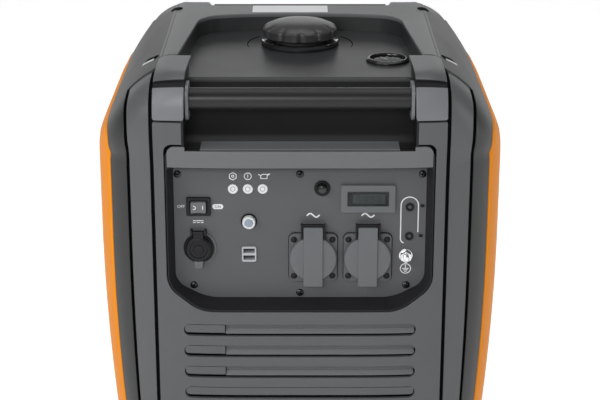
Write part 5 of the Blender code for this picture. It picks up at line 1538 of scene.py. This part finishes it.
def make_lamps(_form):
    """White ring, grey groove and white lens of each lamp"""
    white, grey = [], []
    for node in LAMPS:
        u, v, size, proud = place_of(node)
        r = size.x / 2
        white.append(knob(u, v, [(r * 0.54, 0), (r, 0), (r, proud * 0.6), (r * 0.93, proud),
                                 (r * 0.58, proud), (r * 0.54, proud * 0.8), (r * 0.54, 0)]))
        lens = [(0, 0), (r * 0.38, 0), (r * 0.38, proud * 0.8), (r * 0.3, proud), (0, proud)]
        white.append(knob(u, v, lens, count=24))
        groove = proud * 0.6
        grey.append(knob(u, v, [(r * 0.37, 0), (r * 0.55, 0), (r * 0.55, groove), (r * 0.37, groove),
                                (r * 0.37, 0)]))
    piece("lamp_rings", joined(*white), "mark_white", replaces=LAMPS)
    piece("lamp_grooves", joined(*grey), "lens_grey")


# Finish of the rim and of the centre, slot, and width of the collar
BUTTONS = {
    "breaker_button": ("mark_white", "button_pale", "button_pale", 0.0016),
    "reset_button": ("gloss_black", "gloss_black", "control_black", 0.0028),
}
BUTTON_ROOT = -0.004


def make_buttons(_form):
    for node, (rim, centre, slot, collar_wide) in BUTTONS.items():
        u, v, size, proud = place_of(node)
        r = size.x / 2
        bore, wide, dish = r + 0.0004, r + collar_wide, r * 0.70
        collar = knob(u, v, [(bore, 0), (wide, 0), (wide, 0.0010), (wide - 0.0006, 0.0020),
                             (r + 0.0007, 0.0020), (bore, 0.0016), (bore, 0)])
        piece(node + "_collar", collar, "control_black")
        key = knob(u, v, [(0, BUTTON_ROOT), (r, BUTTON_ROOT), (r, proud - 0.0012),
                          (r - 0.0008, proud - 0.0001), (dish + 0.0006, proud), (dish, proud - 0.0008),
                          (0, proud - 0.0008)])
        piece(node + "_key", key, rim, node, (node,))
        edge, base = dish - 0.0002, proud - 0.0012
        disc = knob(u, v, [(0, base), (edge, base), (edge, proud - 0.0006), (dish * 0.8, proud - 0.0003),
                           (0, proud - 0.0001)])
        piece(node + "_disc", disc, centre, node)


DC_BORE = 0.0105
DC_BODY = 0.0120
DC_DEEP = -0.030
DC_FLOOR = -0.028
DC_HINGE = {"up": 0.0185, "out": 0.0051, "radius": 0.0024, "half": 0.0052, "ear": 0.0072}
DC_LIFT = {"half": 0.0045, "end_half": 0.0040, "top": 0.0015, "end": 0.0070, "thick": 0.0040}
DC_STRAP = {"radius": 0.0178, "half_turn": 62, "steps": 18, "wide": 0.0014}


def make_dc(_form):
    """Shell and pin of the 12 V socket, its hinged cover and the strap that holds the cover"""
    u, v = DC_AT
    hinge_v = v + DC_HINGE["up"]
    low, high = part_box("dc_socket")
    r = (high.x - low.x) / 2
    shell = knob(u, v, [(0, DC_DEEP), (DC_BODY, DC_DEEP), (DC_BODY, 0), (r, 0), (r, 0.0012),
                        (r - 0.0008, 0.0020), (0.0112, 0.0020), (DC_BORE, 0.0012), (DC_BORE, DC_FLOOR),
                        (0, DC_FLOOR)])
    ears = [raised(rectangle(u + side * DC_HINGE["ear"], hinge_v, 0.0024, 0.0064, radius=0.0012), 0, 0.0068,
                   edge=0.0005) for side in (-1, 1)]
    piece("dc_shell", joined(shell, *ears), "control_black", replaces=("dc_socket",))
    pin = knob(u, v, [(0, -0.0285), (0.0018, -0.0285), (0.0018, -0.016), (0, -0.015)], count=20)
    piece("dc_pin", pin, "bright_steel")
    low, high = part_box("dc_cap")
    r, base, top = (high.x - low.x) / 2, PLATE_Y - high.y, PLATE_Y - low.y
    cap = knob(u, v, [(0, base), (r, base), (r, top - 0.0016), (r - 0.0012, top - 0.0004), (r - 0.0024, top),
                      (r - 0.0046, top), (r - 0.0052, top - 0.0009), (r * 0.40, top - 0.0009),
                      (r * 0.36, top - 0.0002), (0, top - 0.0002)])
    tab = raised(rectangle(u, v + 0.0150, 0.0104, 0.0090, radius=0.0020), base, top - 0.0006)
    barrel = hinge_barrel(u, hinge_v, DC_HINGE["out"], DC_HINGE["radius"], DC_HINGE["half"], 0.0004, 24)
    piece("dc_cover", joined(cap, tab, barrel), "control_black", "dc_cap", ("dc_cap",))
    half, end_half, foot = DC_LIFT["half"], DC_LIFT["end_half"], v - r
    head, end = foot + DC_LIFT["top"], foot - DC_LIFT["end"]
    outline = [(u - half, head), (u + half, head), (u + end_half, end, 0.0020), (u - end_half, end, 0.0020)]
    lift = raised(outline, base, base + DC_LIFT["thick"])
    ribs = [raised(rectangle(u, foot - 0.0012 - 0.0016 * k, 0.0062, 0.0007, radius=0.0003), base + 0.003,
                   base + 0.0044, edge=0.0002) for k in range(3)]
    piece("dc_lift", joined(lift, *ribs), "rocker_grey", "dc_cap")
    s = DC_STRAP
    path = arc_points(u, v, s["radius"], s["half_turn"], -s["half_turn"], s["steps"])
    links = [bar_between(*ends, s["wide"], depth=0.0016, height=0.0018, lap=0.0006, edge=0.0004)
             for ends in zip(path, path[1:])]
    piece("dc_strap", joined(*(pressed(link, on_panel) for link in links)), "rocker_grey")


def hinge_barrel(u, v, out, radius, half, edge, count):
    """A round barrel that lies across the panel"""
    barrel = turned([(0, -half), (radius, -half), (radius, half), (0, half)], edge, count=count)
    return stood(barrel, on_panel(u, v, out), "+X")


USB_PORT = (0.0120, 0.0050)
USB_TONGUE = (0.0100, 0.0014)
USB_HALF_PITCH = 0.0038


def make_usb(_form):
    u, v, size, proud = place_of("usb_socket")
    rows = [v - USB_HALF_PITCH, v + USB_HALF_PITCH]
    ports = [rectangle(u, row, *USB_PORT, radius=0.0005) for row in rows]
    outline = rectangle(u, v, size.x, size.z, radius=0.0022)
    face = raised(outline, -0.010, proud + 0.0006, edge=0.0010, holes=ports, steps=EDGE_STEPS)
    piece("usb_face", face, "usb_pale", replaces=("usb_socket",))
    back = raised(rectangle(u, v, 0.0128, 0.0136), -0.0106, -0.0098, edge=0)
    tongues = [raised(rectangle(u, row + 0.0010, *USB_TONGUE, radius=0.0004), -0.0100, -0.0010, edge=0.0002)
               for row in rows]
    piece("usb_inside", joined(back, *tongues), "control_black")


AC_FLANGE = (0.0505, 0.0534)
AC_SCREW = (0.0201, 0.0202)
HINGE_UP = 0.0375
HINGE_OUT = 0.0075
FLAP_STRAP = (-0.0300, 0.0357)
FLAP_STRAP_WIDE = 0.0202
FLAP_DISC = 0.0050
HINGE_EAR = ((0.0225, 0.0), (0.0300, 0.0), (0.0392, 0.0058), (0.0392, 0.0092, 0.0012),
             (0.0225, 0.0106, 0.0012))
EAR_U = 0.0119
EAR_THICK = 0.0018
AC_BORE = 0.0190
AC_CUP = ((0, -0.0165), (0.0205, -0.0165), (0.0205, 0.0005), (0.0190, 0.0020), (0.0180, 0.0005),
          (0.0178, -0.0150), (0, -0.0150))
AC_PIN = ((0, -0.0158), (0.0028, -0.0158), (0.0028, -0.0147), (0, -0.0147))
AC_PIN_U = 0.0095
AC_CLIP_V = 0.0166
AC_LINE = 0.0012


def make_ac(_form):
    v = AC_Z
    for side_name, u in zip(("left", "right"), AC_XS):
        node = "ac_socket_" + side_name
        outline = rectangle(u, v, *AC_FLANGE, radius=0.006)
        flange = raised(outline, 0, 0.0030, edge=0.0009, holes=(circle(u, v, AC_BORE),), steps=EDGE_STEPS)
        piece(node + "_flange", flange, "panel_grey", replaces=(node,))
        ears, pins, clips = [], [], []
        for side in (-1, 1):
            middle = u + side * EAR_U + EAR_THICK / 2
            ear = plate(HINGE_EAR, depth=EAR_THICK, edge=0.0003)
            ears.append(pressed(ear, lambda up, stands, out: on_panel(middle + out, v + up, stands)))
            pins.append(knob(u + side * AC_PIN_U, v, AC_PIN, count=20))
            clip = rectangle(u, v + side * AC_CLIP_V, 0.0050, 0.0016, radius=0.0005)
            clips.append(raised(clip, -0.0150, -0.0030, edge=0.0003))
        piece(node + "_ears", joined(*ears), "control_black")
        piece(node + "_cup", knob(u, v, AC_CUP), "panel_grey")
        outline = rectangle(u, v, AC_FLANGE[0] + AC_LINE, AC_FLANGE[1] + AC_LINE, radius=0.0066)
        piece(node + "_shadow_line", raised(outline, -0.0002, 0.0002, edge=0), "seam_black")
        piece(node + "_contacts", joined(*pins, *clips), "bright_steel")
        spots = [(u + a * AC_SCREW[0], v + b * AC_SCREW[1]) for a in (-1, 1) for b in (-1, 1)]
        screws = joined(*(screw(*spot, base=0.0024, share=0.85) for spot in spots))
        piece(node + "_screws", screws, "control_black")
        make_flap("ac_flap_" + side_name, u, v)


def make_flap(node, u, v):
    """Spring flap of a mains socket: a rounded disc on a raised strap that ends in a hinge barrel"""
    low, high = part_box(node)
    r, base, top = (high.x - low.x) / 2, PLATE_Y - high.y, PLATE_Y - low.y
    face = base + FLAP_DISC
    disc = knob(u, v, [(0, base), (r - 0.0006, base), (r, base + 0.0008), (r, face - 0.0016),
                       (r - 0.0006, face - 0.0006), (r - 0.0018, face), (0, face)], count=64)
    low, high = FLAP_STRAP
    outline = rectangle(u, v + (low + high) / 2, FLAP_STRAP_WIDE, high - low, radius=0.0016)
    strap = raised(outline, base + 0.001, top - 0.0006, edge=0.0009, steps=EDGE_STEPS)
    piece(node + "_cover", joined(disc, strap), "flap_grey", node, (node,))
    barrel = hinge_barrel(u, v + HINGE_UP, HINGE_OUT, 0.0016, 0.0108, 0.0003, 28)
    piece(node + "_barrel", barrel, "control_black", node)


DISPLAY = (0.0430, 0.0160)
SCREEN = (0.0335, 0.0098)
SCREEN_SHIFT = (0.0009, -0.0008)
DIGITS = 4
DIGIT = {"first": -0.0090, "pitch": 0.0066, "half": 0.0030, "side": 0.0017, "bar": 0.0024, "line": 0.0006}


def make_display(_form):
    u, v, size, proud = place_of("display_bezel")
    window = rectangle(u, v, *DISPLAY, radius=0.0008)
    outline = rectangle(u, v, size.x, size.z, radius=0.0016)
    rim = raised(outline, 0, proud, edge=0.0009, holes=(window,), steps=EDGE_STEPS)
    piece("display_frame", rim, "flap_grey", replaces=("display_bezel",))
    back = raised(rectangle(u, v, *DISPLAY), 0.0001, 0.0004, edge=0)
    piece("display_backing", back, "screen_dark")
    middle = v + SCREEN_SHIFT[1]
    screen = raised(rectangle(u + SCREEN_SHIFT[0], middle, *SCREEN, radius=0.0004), 0.0003, 0.0007, edge=0)
    piece("display_screen", screen, "screen_grey")
    d = DIGIT
    bars = []
    for k in range(DIGITS):
        at = u + d["first"] + k * d["pitch"]
        bars += [rectangle(at, middle + d["half"] * j, d["half"], d["line"]) for j in (-1, 0, 1)]
        bars += [rectangle(at + i * d["side"], middle + d["half"] / 2 * j, d["line"], d["bar"])
                 for i in (-1, 1) for j in (-1, 1)]
    digits = joined(*(raised(bar, 0.0006, 0.0008, edge=0) for bar in bars))
    piece("display_digits", digits, "screen_dark")
    outline = rectangle(u, v, DISPLAY[0] - 0.0006, DISPLAY[1] - 0.0006, radius=0.0006)
    glass = raised(outline, 0.0010, 0.0024, edge=0.0003)
    piece("display_glass", glass, "clear_window", replaces=("display_window",))


JACKS = ("parallel_jack_upper", "parallel_jack_lower")
JACK_LUGS = ((0.1265, 0.0285), (0.1255, -0.0044))
JACK_BORE = 0.0020
JACK_ROOT = -0.008
NUT = {"radius": 0.0064, "high": 0.006, "base": 0.0016}
THREAD = {"outer": 0.0030, "inner": 0.0025, "start": 0.0074, "pitch": 0.0010, "turns": 5}


def make_terminals(_form):
    jacks, bores = [], []
    for node in JACKS:
        u, v, size, proud = place_of(node)
        r = size.x / 2
        jack = [(JACK_BORE, JACK_ROOT), (0.0034, JACK_ROOT), (0.0034, 0), (r, 0), (r, proud * 0.6),
                (r * 0.9, proud), (0.0026, proud), (JACK_BORE, proud * 0.6), (JACK_BORE, JACK_ROOT)]
        jacks.append(knob(u, v, jack))
        contact = [(0, JACK_ROOT), (0.0019, JACK_ROOT), (0.0019, -0.0040), (0, -0.0040)]
        bores.append(knob(u, v, contact, count=20))
    piece("parallel_jacks", joined(*jacks), "control_black", replaces=JACKS)
    piece("parallel_jack_contacts", joined(*bores), "bright_steel")
    lugs = [raised(rectangle(*at, 0.0044, 0.0030, radius=0.0008), 0, 0.0012, edge=0.0004) for at in JACK_LUGS]
    piece("parallel_jack_lugs", joined(*lugs), "control_black")
    make_ground()


def make_ground():
    """Nut, washer and threaded stud of the ground terminal"""
    u, v, _, proud = place_of("ground_stud")
    high = NUT["high"]
    nut = bmesh.new()
    bmesh.ops.create_circle(nut, cap_ends=True, segments=6, radius=NUT["radius"])
    made = bmesh.ops.extrude_face_region(nut, geom=nut.faces[:], use_keep_orig=True)["geom"]
    bmesh.ops.translate(nut, verts=new_verts(made), vec=(0, 0, high))
    outward(nut)
    rim = [e for e in nut.edges if min(x.co.z for x in e.verts) > high / 2]
    bmesh.ops.bevel(nut, geom=rim, offset=0.0007, offset_type="OFFSET", affect="EDGES", segments=2,
                    profile=0.5, material=-1)
    nut = stood(nut, on_panel(u, v, NUT["base"]), "-Y")
    washer = knob(u, v, [(0.0032, 0), (0.0072, 0), (0.0072, 0.0015), (0.0032, 0.0015), (0.0032, 0)], 0.0003)
    outer, inner, pitch = THREAD["outer"], THREAD["inner"], THREAD["pitch"]
    thread = [(0, 0.0), (outer, 0.0), (outer, THREAD["start"])]
    for k in range(THREAD["turns"]):
        start = THREAD["start"] + k * pitch
        thread += [(inner, start + pitch * 0.3), (outer, start + pitch * 0.7), (outer, start + pitch)]
    thread += [(inner, proud), (0, proud)]
    terminal = joined(nut, washer, knob(u, v, thread, count=24))
    piece("ground_terminal", terminal, "bright_steel", replaces=("ground_stud",))


# Base and starter

BASE_ROWS = ((0.0200, -0.0080), (0.0204, -0.0030), (0.0225, -0.0008), (0.0260, 0.0), (0.0440, 0.0),
             (0.0448, -0.0012), (0.0462, -0.0012), (0.0470, 0.0), (0.0585, 0.0), (0.0596, -0.0010))
BASE_STEPS = 128
FEET = ("foot_front_left", "foot_front_right", "foot_rear_left", "foot_rear_right")


def make_base(form):
    """Base tray that carries the shells, and four turned rubber feet"""
    bm = bmesh.new()
    bmesh.ops.create_circle(bm, cap_ends=True, segments=BASE_STEPS, radius=1.0)
    top = bm.faces[:]
    for _ in BASE_ROWS[1:]:
        made = bmesh.ops.extrude_face_region(bm, geom=top, use_keep_orig=len(bm.faces) == 1)["geom"]
        top = [f for f in made if isinstance(f, bmesh.types.BMFace)]
        bmesh.ops.translate(bm, verts=new_verts(made), vec=(0, 0, 1))
    for vert in bm.verts:
        z, out = BASE_ROWS[round(vert.co.z)]
        half_width, half_depth, power = form.at(z)
        x, y = vert.co.x, vert.co.y
        swell = (abs(x) ** power + abs(y) ** power) ** (-1 / power)
        vert.co = (x * swell * (half_width + out), y * swell * (half_depth + out), z)
    piece("base_pan", outward(bm), "base_black", replaces=("base_tray",))
    feet = []
    for node in FEET:
        low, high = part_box(node)
        centre, r = (low + high) / 2, (high.x - low.x) / 2
        foot = [(0, 0.0012), (r * 0.55, 0.0012), (r * 0.62, 0), (r * 0.78, 0), (r * 0.83, 0.0015),
                (r * 0.92, 0.0120), (r * 0.92, 0.0135), (r, 0.0140), (r, high.z), (0, high.z)]
        feet.append(stood(turned(foot, edge=0.0005), (centre.x, centre.y, 0)))
    piece("rubber_feet", joined(*feet), "foot_rubber", replaces=FEET)


GRIP_WAIST = 0.16
DIAL_LOBES = 10
DIAL_LOBE_DEPTH = 0.035


def make_starter(_form):
    """Pull grip of the starter and the fuel valve knob in the left pocket"""
    low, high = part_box("recoil_grip")
    centre, size = (low + high) / 2, high - low
    outline = rectangle(0, 0, size.y, size.z, radius=0.009)
    grip = gridded(plate(outline, depth=size.x, edge=0.004, steps=4), 0.004, 0.004)
    for vert in grip.verts:
        vert.co.y *= 1 - GRIP_WAIST * math.cos(vert.co.x / size.y * math.pi) ** 2
    grip = pressed(grip, lambda y, z, out: Vector((low.x - out, centre.y + y, centre.z + z)))
    piece("starter_grip", grip, "control_black", "recoil_grip", ("recoil_grip",))
    low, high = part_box("fuel_valve_knob")
    centre, r, deep = (low + high) / 2, (high.y - low.y) / 2, high.x - low.x
    disc = [(0, 0), (r, 0), (r, deep * 0.45), (r - 0.0015, deep * 0.58), (0, deep * 0.60)]
    disc = scalloped(turned(disc, edge=0.0006), r * 0.85, DIAL_LOBES, DIAL_LOBE_DEPTH)
    outline = rectangle(0, 0, 0.006, r * 1.8, radius=0.0025)
    rib = lifted(plate(outline, depth=deep * 0.45, edge=0.0010, steps=EDGE_STEPS), deep)
    dial = stood(joined(disc, rib), (high.x, centre.y, centre.z), "-X")
    piece("fuel_valve_dial", dial, "control_black", "fuel_valve_knob", ("fuel_valve_knob",))


# Stage

SENSOR = 36.0
FAR_CLIP = 50.0
BACKDROP = (1.8, 4.5, 2.4)
LAMP_AIM = Vector((0, 0, 0.3))
# Place and size of each softbox
SOFTBOXES = {
    "key": ((-1.7, -1.5, 1.5), (1.3, 1.3)),
    "front": ((-0.35, -2.0, 1.12), (0.8, 0.45)),
    "top": ((0.1, 0.2, 2.3), (1.8, 1.8)),
    "fill": ((2.1, -0.4, 0.8), (1.2, 1.2)),
}


def make_stage(settings):
    scene = bpy.context.scene
    scene.view_settings.view_transform = "Standard"
    camera = bpy.data.cameras.new("camera")
    camera.lens = settings.focal
    camera.sensor_width = SENSOR
    camera.clip_end = FAR_CLIP
    eye = bpy.data.objects.new("camera", camera)
    eye.location = (0.0, settings.camera_y, settings.camera_z)
    eye.rotation_euler = (math.pi / 2 - settings.camera_pitch, 0, 0)
    scene.collection.objects.link(eye)
    scene.camera = eye
    white = floor_finish(settings.floor_glow)
    floor = bmesh.new()
    bmesh.ops.create_grid(floor, x_segments=4, y_segments=4, size=settings.floor_size / 2)
    sheet_object("floor", floor, white)
    half, y, high = BACKDROP
    wall = bmesh.new()
    corners = ((-half, 0), (half, 0), (half, high), (-half, high))
    wall.faces.new([wall.verts.new((x, y, z)) for x, z in corners])
    sheet_object("backdrop", wall, white)
    for name, (place, (wide, high)) in SOFTBOXES.items():
        lamp = bpy.data.lights.new(name + "_lamp", "AREA")
        lamp.energy = getattr(settings, name)
        lamp.shape = "RECTANGLE"
        lamp.size, lamp.size_y = wide, high
        obj = bpy.data.objects.new(name + "_lamp", lamp)
        obj.location = place
        obj.rotation_euler = (LAMP_AIM - Vector(place)).to_track_quat("-Z", "Y").to_euler()
        scene.collection.objects.link(obj)
    make_world(settings)


def sheet_object(name, bm, material):
    mesh = bpy.data.meshes.new(name)
    bm.to_mesh(mesh)
    bm.free()
    mesh.materials.append(material)
    sheet = bpy.data.objects.new(name, mesh)
    bpy.context.scene.collection.objects.link(sheet)
    return sheet


def seen_directly(nodes, link):
    """1 where the camera, a gloss or a glass sees the floor or the backdrop, 0 where light is gathered"""
    path = nodes.new("ShaderNodeLightPath")
    first = nodes.new("ShaderNodeMath")
    first.operation = "MAXIMUM"
    second = nodes.new("ShaderNodeMath")
    second.operation = "MAXIMUM"
    link(path.outputs["Is Camera Ray"], first.inputs[0])
    link(path.outputs["Is Glossy Ray"], first.inputs[1])
    link(first.outputs[0], second.inputs[0])
    link(path.outputs["Is Transmission Ray"], second.inputs[1])
    return second.outputs[0]


def make_world(settings):
    world = bpy.data.worlds.new("studio")
    bpy.context.scene.world = world
    world.use_nodes = True
    background = world.node_tree.nodes["Background"]
    background.inputs["Color"].default_value = (1, 1, 1, 1)
    background.inputs["Strength"].default_value = settings.ambient


def floor_finish(strength):
    """White of the floor and the backdrop, with a glow where they are seen"""
    material = bpy.data.materials.new("floor_white")
    material.use_nodes = True
    nodes, link = material.node_tree.nodes, material.node_tree.links.new
    shader = nodes["Principled BSDF"]
    shader.inputs["Base Color"].default_value = (0.90, 0.90, 0.90, 1)
    shader.inputs["Roughness"].default_value = 0.9
    shader.inputs["Emission Color"].default_value = (1, 1, 1, 1)
    glow = math_node(material.node_tree, "MULTIPLY", 1, strength)
    link(seen_directly(nodes, link), glow.inputs[0])
    link(glow.outputs[0], shader.inputs["Emission Strength"])
    return material


def make_inside(_form):
    """Finishes for the solids that no piece replaces"""
    slots = {part["node"]: part["material_slot"] for part in frame["record"]["subparts"]}
    for name, obj in frame["nodes"].items():
        if obj.hide_render:
            continue
        obj.data.materials.clear()
        obj.data.materials.append(finish(INSIDE.get(slots[name], "control_black")))


# Operators

def operator(idname, label, text, make):
    """An operator class that makes one group of pieces"""
    def execute(self, context):
        make(Form(context.scene.case_sizes))
        return {"FINISHED"}
    body = {"bl_idname": "generator." + idname, "bl_label": label, "__doc__": text, "execute": execute}
    return type("GENERATOR_OT_" + idname, (bpy.types.Operator,), body)


class GENERATOR_OT_stage(bpy.types.Operator):
    """Set up the camera, the floor and the lamps"""

    bl_idname = "generator.stage"
    bl_label = "Stage"

    def execute(self, context):
        make_stage(context.scene.stage_settings)
        return {"FINISHED"}


PIECES = (
    operator("front_cover", "Front cover", "Mould the front cover with its louvres", make_front_cover),
    operator("rear_cover", "Rear cover", "Mould the rear cover with its louvres and outlet", make_rear_cover),
    operator("hoops", "Side hoops", "Bend the two dark hoops over the case", make_hoops),
    operator("side_covers", "Side covers", "Mould the orange side covers", make_side_covers),
    operator("service_door", "Service door", "Mould the service door and its latch", make_service_door),
    operator("top", "Top", "Mould the top skin, the tray and the hand wells", make_top),
    operator("brackets", "Brackets", "Mould the two handle brackets", make_brackets),
    operator("bars", "Handle bars", "Make the two carrying bars", make_bars),
    operator("fuel", "Fuel filler", "Turn the filler ring, the cap and the gauge", make_fuel),
    operator("bezel", "Bezel", "Mould the bezel round the control panel", make_bezel),
    operator("panel", "Control panel", "Stamp the control panel", make_panel),
    operator("screws", "Panel screws", "Turn the screws of the control panel", make_screws),
    operator("marks", "Panel marks", "Print the signs on the control panel", make_marks),
    operator("switch", "Engine switch", "Mould the engine switch", make_switch),
    operator("lamps", "Lamps", "Turn the three lamps", make_lamps),
    operator("buttons", "Buttons", "Turn the breaker and the reset button", make_buttons),
    operator("dc", "12 V socket", "Make the 12 V socket with its cap and strap", make_dc),
    operator("usb", "USB socket", "Mould the double USB socket", make_usb),
    operator("ac", "Mains sockets", "Make the mains sockets and their flaps", make_ac),
    operator("display", "Display", "Make the display", make_display),
    operator("terminals", "Terminals", "Make the parallel jacks and the ground stud", make_terminals),
    operator("base", "Base", "Mould the base tray and the feet", make_base),
    operator("starter", "Starter", "Mould the starter grip and the fuel valve knob", make_starter),
    operator("inside", "Inside", "Finish the solids that are shown as they are", make_inside),
)
SETTINGS = (("case_sizes", CaseSizes), ("case_colours", CaseColours), ("stage_settings", StageSettings))


class GENERATOR_PT_pieces(bpy.types.Panel):
    """Lists the pieces of the generator"""

    bl_idname = "GENERATOR_PT_pieces"
    bl_label = "Inverter generator"
    bl_space_type = "VIEW_3D"
    bl_region_type = "UI"
    bl_category = "Generator"

    def draw(self, context):
        for made in (GENERATOR_OT_stage, *PIECES):
            self.layout.operator(made.bl_idname)


CLASSES = (CaseSizes, CaseColours, StageSettings, GENERATOR_OT_stage, *PIECES, GENERATOR_PT_pieces)


def register():
    for item in CLASSES:
        bpy.utils.register_class(item)
    for name, group in SETTINGS:
        setattr(bpy.types.Scene, name, bpy.props.PointerProperty(type=group))


def unregister():
    for name, _ in SETTINGS:
        delattr(bpy.types.Scene, name)
    for item in reversed(CLASSES):
        bpy.utils.unregister_class(item)


def main():
    register()
    bpy.ops.generator.stage()
    for made in PIECES:
        getattr(bpy.ops.generator, made.bl_idname.split(".")[1])()


if __name__ == "__main__":
    main()
